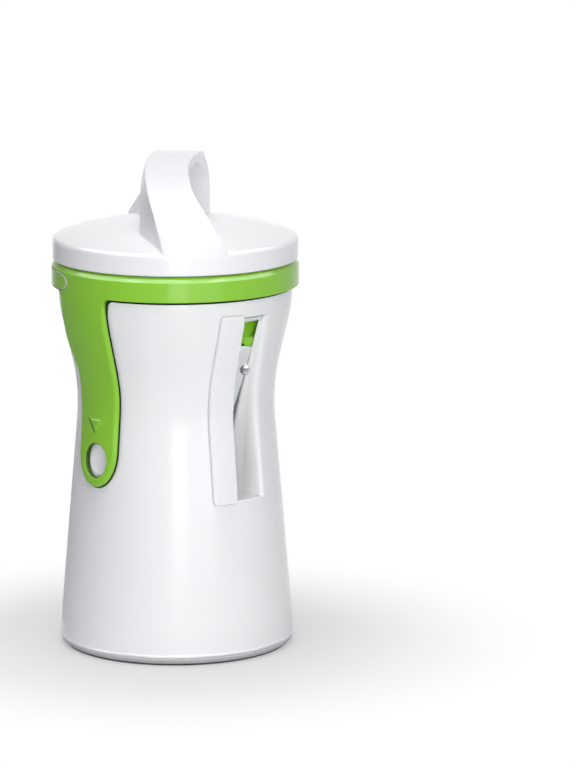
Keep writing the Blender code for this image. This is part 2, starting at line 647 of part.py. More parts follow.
def make_collar_frame(finish):
    low = ARM_END - CLEAR
    channel_top = NECK_TOP + GAP
    inner_wall = NECK_RADIUS - WALL - GAP
    lip_low = CONE_TOP + GAP
    bevel_start = CREST_HEIGHT - BAND_BEVEL_HEIGHT
    crest_outer = BAND_RADIUS - BAND_BEVEL_WIDTH
    mouth_low = CREST_HEIGHT - MOUTH_DEPTH
    skirt = body_path(low, NECK_TOP)
    outside = offset(skirt[:-1], GAP + ARM_THICKNESS)
    top = rounded_path([outside[-1], (BAND_RADIUS, bevel_start), (crest_outer, CREST_HEIGHT),
                        (MOUTH_RADIUS, CREST_HEIGHT), (MOUTH_RADIUS, mouth_low),
                        (cone_radius(FUNNEL_START), FUNNEL_START), (cone_radius(lip_low), lip_low)],
                       [0, CREST_ROUND, CREST_ROUND, CREST_ROUND, MOUTH_ROUND, MOUTH_ROUND, 0])
    inside = [(cone_radius(lip_low) + COLLAR_WALL, lip_low), (inner_wall, COLLAR_TURN),
              (inner_wall, channel_top), (BODY_GAP_RADIUS, channel_top)]
    outline = outside + top[1:] + inside + offset(skirt, GAP)[::-1]
    collar = turned("collar_frame", outline, finish)
    cut(collar, side_prism("arm_gaps", arm_gap_outline(), -REACH, REACH))
    opening = [(x, y + ARM_HOLE_CENTRE) for x, y in oval(ARM_HOLE_WIDTH, ARM_HOLE_HEIGHT)]
    cut(collar, side_prism("arm_holes", opening, -REACH, REACH))
    for side, name in ((-1, "left"), (1, "right")):
        floor = BAND_RADIUS - PLATE_DEPTH
        cut(collar, plate_layer("plate_pocket_" + name, side, GAP, floor, REACH))
    return collar


def plate_layer(name, side, grow, low, high, finish=None):
    """Round-ended outline on the collar, grown by grow, between two distances from the axis."""
    half = PLATE_LENGTH / 2 - PLATE_WIDTH / 2
    end = PLATE_WIDTH / 2 + grow
    outline = []
    for centre, start in ((half, -math.pi / 2), (-half, math.pi / 2)):
        for step in range(PLATE_END_STEPS + 1):
            angle = start + math.pi * step / PLATE_END_STEPS
            outline.append((centre + end * math.cos(angle), end * math.sin(angle)))
    outward = Vector((side * math.cos(PLATE_ANGLE), math.sin(PLATE_ANGLE), 0))
    across = Vector((-outward.y, outward.x, 0))
    place = frame(Vector((0, 0, PLATE_CENTRE)), across, Vector((0, 0, 1)), outward)
    z_low, z_high = PLATE_CENTRE - PLATE_WIDTH, PLATE_CENTRE + PLATE_WIDTH
    layer = turned(name, [(low, z_low), (high, z_low), (high, z_high), (low, z_high)], finish)
    return trim(layer, prism(name + "_outline", outline, BAND_RADIUS / 2, REACH, place=place))


def make_feed_cone(finish):
    outer = cone_radius(CONE_FLANGE_LOW) + CONE_WALL
    low_outer = CONE_LOW_RADIUS + CONE_WALL
    flange = NECK_RADIUS - WALL - GAP
    cone = turned("feed_cone", [(0, CONE_END), (low_outer, CONE_END), (low_outer, CONE_LOW),
                                (outer, CONE_FLANGE_LOW), (flange, CONE_FLANGE_LOW),
                                (flange, CONE_TOP), (0, CONE_TOP)], finish, closed=False)
    slope = math.tan(BLADE_TILT)
    rail_right = SLOT_HEEL + RAIL_WIDTH
    rail_left = SLOT_HEEL - GAP
    base = blade_base() - GAP
    rail = along_blade("blade_rail", [(rail_left, -2 * CONE_WALL), (rail_right, -2 * CONE_WALL),
                                      (rail_right, base + slope * rail_right),
                                      (rail_left, base + slope * rail_left)], RAIL_LENGTH)
    pad_left = -SLOT_OPENING - PAD_WIDTH
    pad_right = -SLOT_OPENING + GAP
    pad = along_blade("comb_pad", [(pad_left, -2 * CONE_WALL), (pad_right, -2 * CONE_WALL),
                                   (pad_right, PAD_RISE), (pad_left, PAD_RISE)], RAIL_LENGTH)
    join(cone, rail, pad)
    below, above = CONE_END - CLEAR, CONE_TOP + CLEAR
    funnel = turned("funnel_space", [(0, below), (CONE_LOW_RADIUS, below),
                                     (CONE_LOW_RADIUS, CONE_LOW), (cone_radius(above), above),
                                     (0, above)], closed=False)
    slot = box("blade_slot", (-SLOT_OPENING, -BLADE_LENGTH / 2 - GAP, -4 * CONE_WALL),
               (SLOT_HEEL, BLADE_LENGTH / 2 + GAP, 4 * CONE_WALL), place=blade_frame())
    cut(cone, funnel, slot)
    for end in (-1, 1):
        cut(cone, hole(f"blade_pilot_{end}", blade_screw_frame(end), SMALL_SHANK_RADIUS + GAP / 2,
                       SMALL_SCREW_LENGTH + 2 * GAP))
        cut(cone, hole(f"comb_pilot_{end}", comb_screw_frame(end), SMALL_SHANK_RADIUS + GAP / 2,
                       SMALL_SCREW_LENGTH + 2 * GAP))
    return cone


def blade_base():
    """Height of the blade's lower face at its cutting edge, in the blade frame."""
    return -(CONE_WALL * math.cos(CONE_HALF_ANGLE) + BLADE_REACH)


def blade_screw_frame(end):
    """On the blade's outer face at a screw, with local Z square to the blade."""
    lift = blade_base() + BLADE_SCREW_INSET * math.tan(BLADE_TILT)
    shift = Matrix.Translation((BLADE_SCREW_INSET, end * BLADE_SCREW_SPREAD, lift))
    tilt = Matrix.Rotation(-BLADE_TILT, 4, "Y")
    return blade_frame() @ shift @ tilt @ Matrix.Translation((0, 0, BLADE_THICKNESS + GAP / 2))


def comb_screw_frame(end):
    """On the comb's outer face at a screw."""
    lift = PAD_RISE + GAP + TOOTH_THICKNESS + GAP / 2
    shift = (-SLOT_OPENING - COMB_SCREW_INSET, end * BLADE_SCREW_SPREAD, lift)
    return blade_frame() @ Matrix.Translation(shift)


def make_slicing_blade(finish):
    """Flat blade that leans through the slot, ground to an edge on its outer face."""
    base, slope = blade_base(), math.tan(BLADE_TILT)
    rise = BLADE_THICKNESS / math.cos(BLADE_TILT)
    heel = BLADE_WIDTH * math.cos(BLADE_TILT)
    section = [(0, base), (heel, base + slope * heel), (heel, base + slope * heel + rise),
               (BLADE_BEVEL, base + slope * BLADE_BEVEL + rise)]
    blade = along_blade("slicing_blade", section, BLADE_LENGTH - 2 * GAP, finish)
    for end in (-1, 1):
        cut(blade, hole(f"blade_hole_{end}", blade_screw_frame(end), SMALL_SHANK_RADIUS + GAP / 2,
                        3 * BLADE_THICKNESS))
    return blade


def make_comb_blade(finish):
    """Flat strip with a row of teeth bent down through the slot."""
    low = PAD_RISE + GAP
    right = -SLOT_OPENING + GAP + TOOTH_THICKNESS
    columns = [right - COMB_WIDTH - TOOTH_THICKNESS, right - TOOTH_THICKNESS, right]
    half = BLADE_LENGTH / 2 - GAP
    count = 1 + int((2 * half - 2 * COMB_MARGIN - TOOTH_WIDTH) / TOOTH_PITCH)
    rows = [-half]
    for index in range(count):
        centre = (index - (count - 1) / 2) * TOOTH_PITCH
        rows += [centre - TOOTH_WIDTH / 2, centre + TOOTH_WIDTH / 2]
    rows.append(half)
    bm = bmesh.new()
    grid = [[bm.verts.new((x, y, low)) for x in columns] for y in rows]
    for row in range(len(rows) - 1):
        for column in (0, 1):
            bm.faces.new((grid[row][column], grid[row][column + 1],
                          grid[row + 1][column + 1], grid[row + 1][column]))
    raised = bmesh.ops.extrude_face_region(bm, geom=bm.faces[:])["geom"]
    moved = [item for item in raised if isinstance(item, bmesh.types.BMVert)]
    bmesh.ops.translate(bm, verts=moved, vec=(0, 0, TOOTH_THICKNESS))
    bmesh.ops.recalc_face_normals(bm, faces=bm.faces)
    roots = [face for face in bm.faces
             if face.normal.z < -0.5 and face.calc_center_median().x > columns[1]
             and abs(face.calc_area() - TOOTH_WIDTH * TOOTH_THICKNESS) < MERGE * MM]
    for root in roots:
        tooth = bmesh.ops.extrude_face_region(bm, geom=[root])["geom"]
        tip = [item for item in tooth if isinstance(item, bmesh.types.BMVert)]
        bmesh.ops.translate(bm, verts=tip, vec=(0, 0, blade_base() - low))
    bmesh.ops.delete(bm, geom=[face for face in roots if face.is_valid], context="FACES_ONLY")
    comb = add_object("comb_blade", bm, finish, blade_frame())
    for end in (-1, 1):
        cut(comb, hole(f"comb_hole_{end}", comb_screw_frame(end), SMALL_SHANK_RADIUS + GAP / 2,
                       3 * TOOTH_THICKNESS))
    return comb


def make_button(side, name, finish):
    """Oval button with a dished face, a flange inside the shell and a stem for its spring."""
    width = ARM_HOLE_WIDTH - 4 * BUTTON_PLAY
    height = ARM_HOLE_HEIGHT - 4 * BUTTON_PLAY
    inner = body_radius(ARM_HOLE_CENTRE) - WALL
    flange_face = math.sqrt(inner ** 2 - (ARM_HOLE_WIDTH / 2 + BUTTON_FLANGE_LIP) ** 2) - GAP
    out = frame(Vector((0, 0, ARM_HOLE_CENTRE)), Vector((0, side, 0)), Vector((0, 0, 1)),
                Vector((side, 0, 0)))
    button = prism("release_button_" + name, oval(width, height), flange_face - BUTTON_FLANGE / 2,
                   REACH, finish, out)
    high = ARM_HOLE_CENTRE + ARM_HOLE_HEIGHT
    path = body_path(ARM_HOLE_CENTRE - ARM_HOLE_HEIGHT, high)
    limit = turned("button_limit_" + name, [(0, path[0][1])] + offset(path, BUTTON_PROUD)
                   + [(0, high)], closed=False)
    trim(button, limit)
    face = body_radius(ARM_HOLE_CENTRE) + BUTTON_PROUD
    dish_centre = face - BUTTON_DISH + BUTTON_DISH_RADIUS
    ball = []
    for step in range(DISH_STEPS + 1):
        angle = DISH_HALF_ANGLE * step / DISH_STEPS
        ball.append((BUTTON_DISH_RADIUS * math.sin(angle),
                     dish_centre - BUTTON_DISH_RADIUS * math.cos(angle)))
    ball.append((0, ball[-1][1]))
    cut(button, turned("button_dish_" + name, ball, closed=False, segments=DISH_SEGMENTS, place=out))
    flange = prism("button_flange_" + name,
                   oval(width + 2 * BUTTON_FLANGE_LIP, height + 2 * BUTTON_FLANGE_LIP),
                   flange_face - BUTTON_FLANGE, flange_face, place=out)
    stem_outline = oval(2 * BUTTON_STEM_RADIUS, 2 * BUTTON_STEM_RADIUS, STEM_SEGMENTS)
    stem = prism("button_stem_" + name, stem_outline,
                 carrier_distance() - CARRIER_THICKNESS / 2, flange_face - BUTTON_FLANGE / 2,
                 place=out)
    return join(button, flange, stem)


def make_carrier(side, name, finish):
    """Plate across two bosses that guides a button's stem and carries its spring."""
    thick = CARRIER_THICKNESS
    half = CARRIER_SCREW_SPREAD + CARRIER_EDGE
    place = frame(Vector((side * carrier_distance(), 0, ARM_HOLE_CENTRE)), Vector((0, -side, 0)),
                  Vector((0, 0, 1)), Vector((-side, 0, 0)))
    corners = [(-half, -CARRIER_HEIGHT / 2), (half, -CARRIER_HEIGHT / 2),
               (half, CARRIER_HEIGHT / 2), (-half, CARRIER_HEIGHT / 2)]
    outline = rounded_path(corners, [CARRIER_EDGE / 2] * len(corners))
    carrier = prism("button_carrier_" + name, outline, 0, thick, finish, place)
    stem_room = 2 * (BUTTON_STEM_RADIUS + GAP)
    cut(carrier, prism("stem_hole_" + name, oval(stem_room, stem_room, FINE_SEGMENTS), -CLEAR,
                       thick + CLEAR, place=place))
    for end in (-1, 1):
        cut(carrier, hole(f"carrier_hole_{name}_{end}", boss_frame(side, end, GAP + thick),
                          SMALL_SHANK_RADIUS + GAP / 2, 3 * thick))
    return carrier


def make_spring(side, name, finish):
    """Round coil between the button's flange and the carrier, as one open tube with caps."""
    length = SPRING_ROOM - 2 * GAP - SPRING_WIRE
    start = carrier_distance() + GAP + SPRING_WIRE / 2
    count = SPRING_TURNS * SPRING_POINTS
    path = []
    for step in range(count + 1):
        angle = math.tau * step / SPRING_POINTS
        path.append(Vector((side * (start + length * step / count), SPRING_RADIUS * math.cos(angle),
                            ARM_HOLE_CENTRE + SPRING_RADIUS * math.sin(angle))))
    nearest = min((a - b).length for i, a in enumerate(path) for b in path[i + SPRING_POINTS // 2:])
    print(f"button spring {name}: least gap to itself {(nearest - SPRING_WIRE) / MM:.2f} mm")
    curve = bpy.data.curves.new("button_spring_" + name, "CURVE")
    curve.dimensions = "3D"
    curve.bevel_depth = SPRING_WIRE / 2
    curve.bevel_resolution = 1
    curve.use_fill_caps = True
    spline = curve.splines.new("POLY")
    spline.points.add(count)
    for point, place in zip(spline.points, path):
        point.co = (*place, 1.0)
    curve.materials.append(finish)
    spring = bpy.data.objects.new(curve.name, curve)
    bpy.context.scene.collection.objects.link(spring)
    return spring


def dome_height(radius, drop=0.0):
    """Height of the cap's dome, or of a surface drop below it, at a radius."""
    return CAP_TOP - drop - CAP_RISE * (radius / CAP_RADIUS) ** CAP_DOME_POWER


def smooth_between(values, beyond, share):
    """Value of a smooth curve through values at equal steps, share running from 0 to 1.

    Beyond is the value one step past the last, where the curve goes on.
    """
    place = share * (len(values) - 1)
    index = min(int(place), len(values) - 2)
    before = values[max(index - 1, 0)]
    start, end, after = (values + [beyond])[index:index + 3]
    t = place - index
    return 0.5 * (2 * start + (end - before) * t + (2 * before - 5 * start + 4 * end - after) * t ** 2
                  + (3 * start - before - 3 * end + after) * t ** 3)


def handle_section(angle):
    """Section of the handle at an angle from the front foot over the top to the back foot.

    The outer face bends with the cap's side: a point at x has y = -c * sqrt(R^2 - (c * x)^2),
    where c is the angle's cosine. The other three sides are straight between the edges.
    """
    front = min(angle, math.pi - angle)
    share = max(front, 0) / (math.pi / 2)
    cosine, sine = math.cos(front), math.sin(front)
    base = CAP_SEAT + HANDLE_FOOT
    rise = HANDLE_HEIGHT - HANDLE_FOOT
    radius = CAP_RADIUS - HANDLE_INSET
    left = smooth_between(HANDLE_OUTER_LEFT, -HANDLE_OUTER_RIGHT[-2], share)
    right = smooth_between(HANDLE_OUTER_RIGHT, -HANDLE_OUTER_LEFT[-2], share)
    outer = []
    for step in range(HANDLE_FACE_STEPS + 1):
        x = left + (right - left) * step / HANDLE_FACE_STEPS
        outer.append(Vector((x, -cosine * math.sqrt(radius ** 2 - (cosine * x) ** 2),
                             base + rise * sine)))
    inner_height = base + (rise - HANDLE_THICKNESS) * sine
    inner = [Vector((smooth_between(edge, -partner[-2], share), -span * cosine, inner_height))
             for edge, partner, span in
             ((HANDLE_INNER_RIGHT, HANDLE_INNER_LEFT, HANDLE_INNER_RIGHT_SPAN),
              (HANDLE_INNER_LEFT, HANDLE_INNER_RIGHT, HANDLE_INNER_LEFT_SPAN))]
    ring = outer + inner
    if angle > math.pi / 2:
        ring = [Vector((-point.x, -point.y, point.z)) for point in ring]
        ring = ring[HANDLE_FACE_STEPS::-1] + ring[:HANDLE_FACE_STEPS:-1]
    points = []
    for index, corner in enumerate(ring):
        if 0 < index < HANDLE_FACE_STEPS:
            points.append(corner)
            continue
        back = (ring[index - 1] - corner).normalized() * HANDLE_EDGE
        ahead = (ring[(index + 1) % len(ring)] - corner).normalized() * HANDLE_EDGE
        points += [corner + back, corner + (back + ahead) * HANDLE_EDGE_SHARE, corner + ahead]
    return points


def make_cap(finish):
    """Domed disc and twisted handle in one moulding, hollow underneath with a screw boss."""
    side = rounded_path([(0, CAP_SEAT), (CAP_RADIUS, CAP_SEAT), (CAP_RADIUS, CAP_SHOULDER_HEIGHT),
                         (CAP_RADIUS * SHOULDER_RUN, dome_height(CAP_RADIUS * SHOULDER_RUN))],
                        [0, CAP_LOWER_EDGE, CAP_SHOULDER, 0])[:-1]
    shares = [1 - step / DOME_STEPS for step in range(DOME_STEPS + 1)]
    dome = [(CAP_RADIUS * DOME_EDGE * share, dome_height(CAP_RADIUS * DOME_EDGE * share))
            for share in shares]
    cap = turned("cap", side + dome, finish, closed=False)
    sweep = math.pi - 2 * HANDLE_START
    angles = [HANDLE_START + sweep * step / HANDLE_STEPS for step in range(HANDLE_STEPS + 1)]
    handle = loft("handle_form", [handle_section(angle) for angle in angles],
                  place=Matrix.Rotation(HANDLE_TURN, 4, "Z"))
    join(cap, handle)
    bore = CAP_RADIUS - CAP_WALL
    radii = [bore * ROOF_EDGE * share for share in shares]
    rib_outer = RING_RADIUS - GAP
    rib_inner = rib_outer - CAP_RIB_WIDTH
    rib_low = RING_TOP + GAP
    boss_low = PLATE_TOP + GAP
    radii = [radius for radius in radii if CAP_BOSS_RADIUS < radius < rib_inner - MM]
    outline = [(0, CAP_SEAT - CLEAR), (bore, CAP_SEAT - CLEAR),
               (bore, CAP_SHOULDER_HEIGHT - CAP_WALL), (rib_outer, CAP_SHOULDER_HEIGHT - CAP_WALL),
               (rib_outer, rib_low), (rib_inner, rib_low)]
    outline += [(radius, dome_height(radius, CAP_WALL))
                for radius in [rib_inner] + radii + [CAP_BOSS_RADIUS]]
    outline += [(CAP_BOSS_RADIUS, boss_low), (0, boss_low)]
    hollow = turned("cap_hollow", outline, closed=False)
    pilot = hole("cap_pilot", cap_screw_frame(), CAP_SCREW_SHANK_RADIUS + GAP / 2,
                 CAP_SCREW_LENGTH + GAP)
    return cut(cap, hollow, pilot)


def cap_screw_frame():
    """Under the prong plate, with local Z pointing down out of the screw's head."""
    return frame(Vector((0, 0, PLATE_LOW - GAP / 2)), Vector((1, 0, 0)), Vector((0, -1, 0)),
                 Vector((0, 0, -1)))


def make_guide_ring(finish):
    low = CAP_SEAT - RING_DROP
    bore = RING_RADIUS - RING_WALL
    outline = rounded_path([(bore, low), (RING_RADIUS, low), (RING_RADIUS, RING_TOP),
                            (bore - RING_LIP, RING_TOP), (bore - RING_LIP, RING_LIP_LOW),
                            (bore, RING_LIP_LOW)], [0, RING_EDGE, 0, 0, 0, 0])
    return turned("guide_ring", outline, finish)


def prong_places():
    for index in range(PRONG_COUNT):
        angle = math.tau * index / PRONG_COUNT
        yield index + 1, Vector((PRONG_CIRCLE * math.sin(angle), PRONG_CIRCLE * math.cos(angle), 0))


def make_prong_plate(finish):
    radius = RING_RADIUS - RING_WALL - GAP
    plate = turned("prong_plate", [(0, PLATE_LOW), (radius, PLATE_LOW), (radius, PLATE_TOP),
                                   (0, PLATE_TOP)], finish, closed=False)
    for number, place in prong_places():
        boss_low = PLATE_LOW - PRONG_BOSS_DROP
        shift = Matrix.Translation(place)
        outline = oval(2 * PRONG_BOSS_RADIUS, 2 * PRONG_BOSS_RADIUS, FINE_SEGMENTS)
        boss = prism(f"prong_boss_{number}", outline, boss_low, PLATE_LOW + PRONG_PLATE_THICKNESS / 2,
                     place=shift)
        bore = 2 * (PRONG_RADIUS + GAP / 2)
        socket = prism(f"prong_socket_{number}", oval(bore, bore, FINE_SEGMENTS), boss_low - CLEAR,
                       PLATE_LOW + PRONG_SEAT + GAP, place=shift)
        join(plate, boss)
        cut(plate, socket)
    through = CAP_SCREW_SHANK_RADIUS + GAP / 2
    return cut(plate, hole("plate_hole", cap_screw_frame(), through, 2 * PRONG_PLATE_THICKNESS))


def make_prong(number, place, finish):
    top = PLATE_LOW + PRONG_SEAT
    low = PLATE_LOW - PRONG_LENGTH
    outline = [(0, low), (PRONG_RADIUS, low + PRONG_TIP), (PRONG_RADIUS, top), (0, top)]
    return turned(f"prong_{number}", outline, finish, closed=False, segments=FINE_SEGMENTS,
                  place=Matrix.Translation(place))


def make_foot_ring(finish):
    inner = FOOT_RING_RADIUS - FOOT_RING_WIDTH / 2
    outer = FOOT_RING_RADIUS + FOOT_RING_WIDTH / 2
    return turned("foot_ring", [(inner, 0), (outer, 0), (outer, FOOT_RING_HEIGHT),
                                (inner, FOOT_RING_HEIGHT)], finish)


def make_screws(finish):
    small = dict(head_radius=SMALL_HEAD_RADIUS, head_height=SMALL_HEAD_HEIGHT,
                 shank_radius=SMALL_SHANK_RADIUS, finish=finish)
    for end, name in ((-1, "lower"), (1, "upper")):
        screw("blade_screw_" + name, blade_screw_frame(end), SMALL_SCREW_LENGTH, **small)
        screw("comb_screw_" + name, comb_screw_frame(end), SMALL_SCREW_LENGTH, **small)
    for side, side_name in ((-1, "left"), (1, "right")):
        for end, end_name in ((-1, "front"), (1, "back")):
            place = boss_frame(side, end, GAP + CARRIER_THICKNESS + GAP / 2)
            screw(f"carrier_screw_{side_name}_{end_name}", place, CARRIER_SCREW_LENGTH, **small)
    return screw("cap_screw", cap_screw_frame(), CAP_SCREW_LENGTH, CAP_SCREW_HEAD_RADIUS,
                 CAP_SCREW_HEAD_HEIGHT, CAP_SCREW_SHANK_RADIUS, finish)


def main():
    for thing in list(bpy.data.objects):
        bpy.data.objects.remove(thing, do_unlink=True)
    white = material("white_plastic", (0.86, 0.86, 0.87), 0.28)
    green = material("green_plastic", (0.25, 0.56, 0.04), 0.25)
    rubber = material("dark_rubber", (0.05, 0.05, 0.055), 0.8)
    steel = material("blade_steel", (0.62, 0.63, 0.65), 0.22, metallic=1.0)

    make_body_shell(white)
    make_exit_guard(white)
    make_collar_frame(green)
    make_feed_cone(green)
    make_slicing_blade(steel)
    make_comb_blade(steel)
    make_foot_ring(rubber)
    for side, name in ((-1, "left"), (1, "right")):
        plate_layer("side_plate_" + name, side, 0, BAND_RADIUS - PLATE_DEPTH + GAP,
                    BAND_RADIUS + PLATE_PROUD, green)
        make_button(side, name, white)
        make_carrier(side, name, white)
        make_spring(side, name, steel)
    lift = joint_empty("cap_lift_axis", (0, 0, CAP_SEAT))
    twist = joint_empty("cap_twist_axis", (0, 0, CAP_SEAT), lift)
    carry(lift, make_guide_ring(white))
    carry(twist, make_cap(white), make_prong_plate(white))
    for number, place in prong_places():
        carry(twist, make_prong(number, place, steel))
    carry(twist, make_screws(steel))


main()
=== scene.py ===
"""Looks of a hand-turned spiralizer: white hourglass body, green collar with two arms, white cap.

The front, with the exit window, faces -Y, and the arms lie at -X and +X. Shapes are worked out in
millimetres as whole arrays of points, and become metres when a piece's mesh is made. A sheet is a
grid of points, rows by columns by 3, and a flat sheet or loop holds two coordinates instead. An
azimuth is 0 at the front and grows towards +X. A share goes from 0 to 1.
"""
import math

import bmesh
import bpy
import numpy as np
from mathutils import Matrix, Vector


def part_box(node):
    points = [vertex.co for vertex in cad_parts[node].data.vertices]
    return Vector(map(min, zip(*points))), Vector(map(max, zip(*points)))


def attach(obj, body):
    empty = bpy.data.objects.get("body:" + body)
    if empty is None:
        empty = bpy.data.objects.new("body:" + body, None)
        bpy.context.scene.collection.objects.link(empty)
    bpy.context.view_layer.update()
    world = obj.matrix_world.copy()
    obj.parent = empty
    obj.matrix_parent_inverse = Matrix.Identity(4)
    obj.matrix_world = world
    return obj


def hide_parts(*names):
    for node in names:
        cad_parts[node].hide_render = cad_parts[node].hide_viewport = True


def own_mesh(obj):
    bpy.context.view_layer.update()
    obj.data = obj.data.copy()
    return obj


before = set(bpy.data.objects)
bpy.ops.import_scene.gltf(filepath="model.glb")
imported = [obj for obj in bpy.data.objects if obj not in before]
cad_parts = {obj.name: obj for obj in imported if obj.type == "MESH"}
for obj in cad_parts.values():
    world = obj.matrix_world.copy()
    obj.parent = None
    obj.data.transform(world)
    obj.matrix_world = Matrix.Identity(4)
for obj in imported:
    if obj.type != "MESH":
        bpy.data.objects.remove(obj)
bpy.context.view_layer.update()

MM = 0.001
AROUND = np.linspace(-math.pi, math.pi, 241)    # azimuths of the large turned pieces
FINE_AROUND = np.linspace(0, math.tau, 49)      # of pins and bosses
ARC_SAG = 0.006                                 # how far an arc's chords may leave the arc
MERGE = 0.002                                   # points closer than this are one point
TINY = 0.01                                     # room between lines that must not quite meet
NEARLY = 0.999                                  # share of an edge that its arc takes up
GAP = 0.3                                       # play between pieces
SOFT = 0.3                                      # rounding of most moulded edges
CRISP = 0.2                                     # rounding of the finer ones
SHARP_ANGLE = 40                                # degrees, past which a small piece's edge is rounded

# Body shell
WALL = 2.1
FOOT_RADIUS = 42.35
FOOT_EDGE = 2.2
FOOT_PAINTED_SHADE = 0.5                                # height over which painted shade darkens its rounding
FOOT_LIFT = 0.8                                 # of the shell over the table, on its rubber ring
FOOT_FLANGE = 5.1                               # how far the foot's flange reaches in
FOOT_FLANGE_TOP = 4.6
FOOT_GROOVE = (38.1, 40.9, 2.7)                 # for the rubber ring: inner and outer radius, top
FOOT_GROOVE_EDGE = 0.05
FOOT_RING_WIDTH = 2.2
FOOT_RING_EDGE = 0.5
FOOT_BEND = (FOOT_RADIUS, 7.0, 170.0)           # radius, height and bend of each corner
WAIST_BEND = (34.9, 94.6, 74.0)
NECK_BEND = (42.1, 125.2, 45.0)
NECK_TOP = 134.0
NECK_EDGE = 0.39
LEDGE_TOP = 126.3                               # of the ledge inside the neck, round the cone
LEDGE_LOW = 124.8
STEP_HEIGHTS = (52, 62, 82, 128)                # up to each, the shell's rows of points lie evenly
STEP_ROWS = (34, 8, 14, 36)                     # rows of points up to each of these heights
NECK_ROWS = 6
WINDOW_SPAN = (-34.5, 21.0)                     # azimuths, in degrees, of the points round the window
BUTTON_SPAN = 13.5                              # and to each side of a button's hole
# Shares of the way to an opening at which points lie, on the shell's outside and inside
WINDOW_SHARES = ((0, 0.3, 0.6, 0.85, 0.97, 1), (0, 0.3, 0.6, 1))
BUTTON_SHARES = ((0, 0.4, 0.8, 0.97, 1), (0, 0.4, 0.8, 1))

# Exit window and guard
WINDOW = (-7.5, 6.6, 58.0, 124.8)               # left, right, low, high
WINDOW_EDGE = 0.3
WINDOW_STEPS = 15                               # rings of points over the window's edge
WINDOW_TURN = 0.5                               # share of them that the edge's rounding takes
SCOOP_START = 9.4                               # X at which the body's surface starts to bend in
SCOOP_BEND = 0.5                                # share of the way in at which the bend ends
SCOOP_INNER = 1.5
SCOOP_BOW = 0.12
SCOOP_LEAST = 0.25                              # least share of the way to the cone that it goes
DUCT_LEFT = -15.0
DUCT_WALL = 1.6
DUCT_CEILING = 1.9                              # under the window's upper edge
DUCT_ROOF = 0.4                                 # outside of its ceiling, under the same edge
DUCT_START = 0.51                               # share of the way in at which it starts
# Rings of the duct's inside and outside: share of the way in at the right, depth at the left
DUCT_RINGS = ((0.52, 1.0), (0.6, 1.2), (0.7, 1.5), (0.85, 1.8), (1.0, 2.0))
DUCT_OUTER_RINGS = ((1.0, 2.0), (0.6, 1.5), (0.25, 1.05))
BLADE_ROOM = 2.8                                # left free over the cone for blade and comb
GUARD = (-14.5, -5.6, 57.4, 126.0)              # left, right, low, high
GUARD_THICKNESS = 1.3
GUARD_CORNER = 1.0
GUARD_CORNER_STEPS = 6
GUARD_EDGE = 0.28
GUARD_UNDER_EDGE = 0.15
GUARD_POINTS = (12, 64)                         # across and along

# Feed cone
CONE_LOW_RADIUS = 13.0
CONE_LOW = 56.0
CONE_SLOPE = math.tan(math.radians(18))
CONE_WALL = 1.9

# Collar frame
SKIN_LIFT = 2.4                                 # collar's outside from the body's outside
BAND_RADIUS = NECK_BEND[0] + SKIN_LIFT
BAND_LOW = 132.0
BAND_EDGE = 0.12
BAND_ROUND = 0.35
BAND_ROWS = 12
BAND_POINTS = 97                                # along the band from one arm to the other
BEVEL_LOW = 139.0                               # of the bevel between the band and the crest
CREST = 141.0
BEVEL_WIDTH = 1.5
CREST_ROUND = 0.7
MOUTH_RADIUS = BAND_RADIUS - 2.75
MOUTH_LOW = 138.2
MOUTH_ROUND = 1.4
FUNNEL_START = 134.2
COLLAR_LIP = 128.7
COLLAR_WALL = 1.6
SKIRT_RISE = 6.0                                # of its skirt's start, over the neck's bend
ARM_FRONT = -9.7
ARM_BACK = 10.2
ARM_WIDENING = 4.6                              # of the back edge, towards the band
ARM_WIDEN = (102.0, 117.0)                      # heights from and to which it widens
ARM_NARROWING = 0.6                             # of the front edge, towards the arm's end
ARM_NARROW = (98.0, 84.0)
ARM_WAIST = 75.5                                # height at which its round end starts
ARM_END_LENGTH = 13.3
ARM_SPLIT = 84.0                                # below it the arm's points lie round the hole
ARM_EDGE = 1.7
ARM_EDGE_FADE = 3                               # corner radii under the band where its edge thins
ARM_CORNER = 2.3
ARM_ROWS = 44
ARM_CORNER_POINTS = 13
ARM_END_POINTS = 49
ARM_SIDE_ROWS = 8                               # from ARM_SPLIT down to ARM_WAIST
# Shares of the way across an arm, and from its outline to its hole, at which its points lie
ARM_COLUMNS = np.array([0, 0.02, 0.08, *np.linspace(0.15, 0.85, 14), 0.92, 0.98, 1])
HOLE_SHARES = (0, 0.03, 0.12, 0.3, 0.5, 0.7, 0.88, 0.97, 1)
HOLE_HEIGHT = 72.0
HOLE = (5.7, 6.3)                               # half width and half height
HOLE_EDGE = 0.25
HOLE_PAINTED_SHADE = 0.75                               # painted shade at the hole's foot
SHADOW_LIP_RISE = 0.35                                # thin dark lip of painted shadow under the collar's edge
SHADOW_LIP_STEP = 0.08
SHADOW_LIP_THICKNESS = 0.08
SHADOW_LIP_REACH = (1.0, 0.5)                         # under the band and round the arms
MARK = (0.4, 87.0, 7.6, 4.8)                    # middle, top, width and height of the triangle
MARK_RISE = 0.5
MARK_PAINTED_SHADE = 0.9                                # painted shade along its back side
MARK_POINTS = 8                                 # along each side
# Its rings: share of its size, of its rise and of its painted shade
MARK_RINGS = ((0, 1, 0), (0.5, 1, 0), (0.72, 1, 0), (0.73, 0.96, 0.3), (1, 0.15, 1), (1.28, 0.12, 1),
              (1.29, 0.1, 0), (1.29, -1, 0), (0, -1, 0))

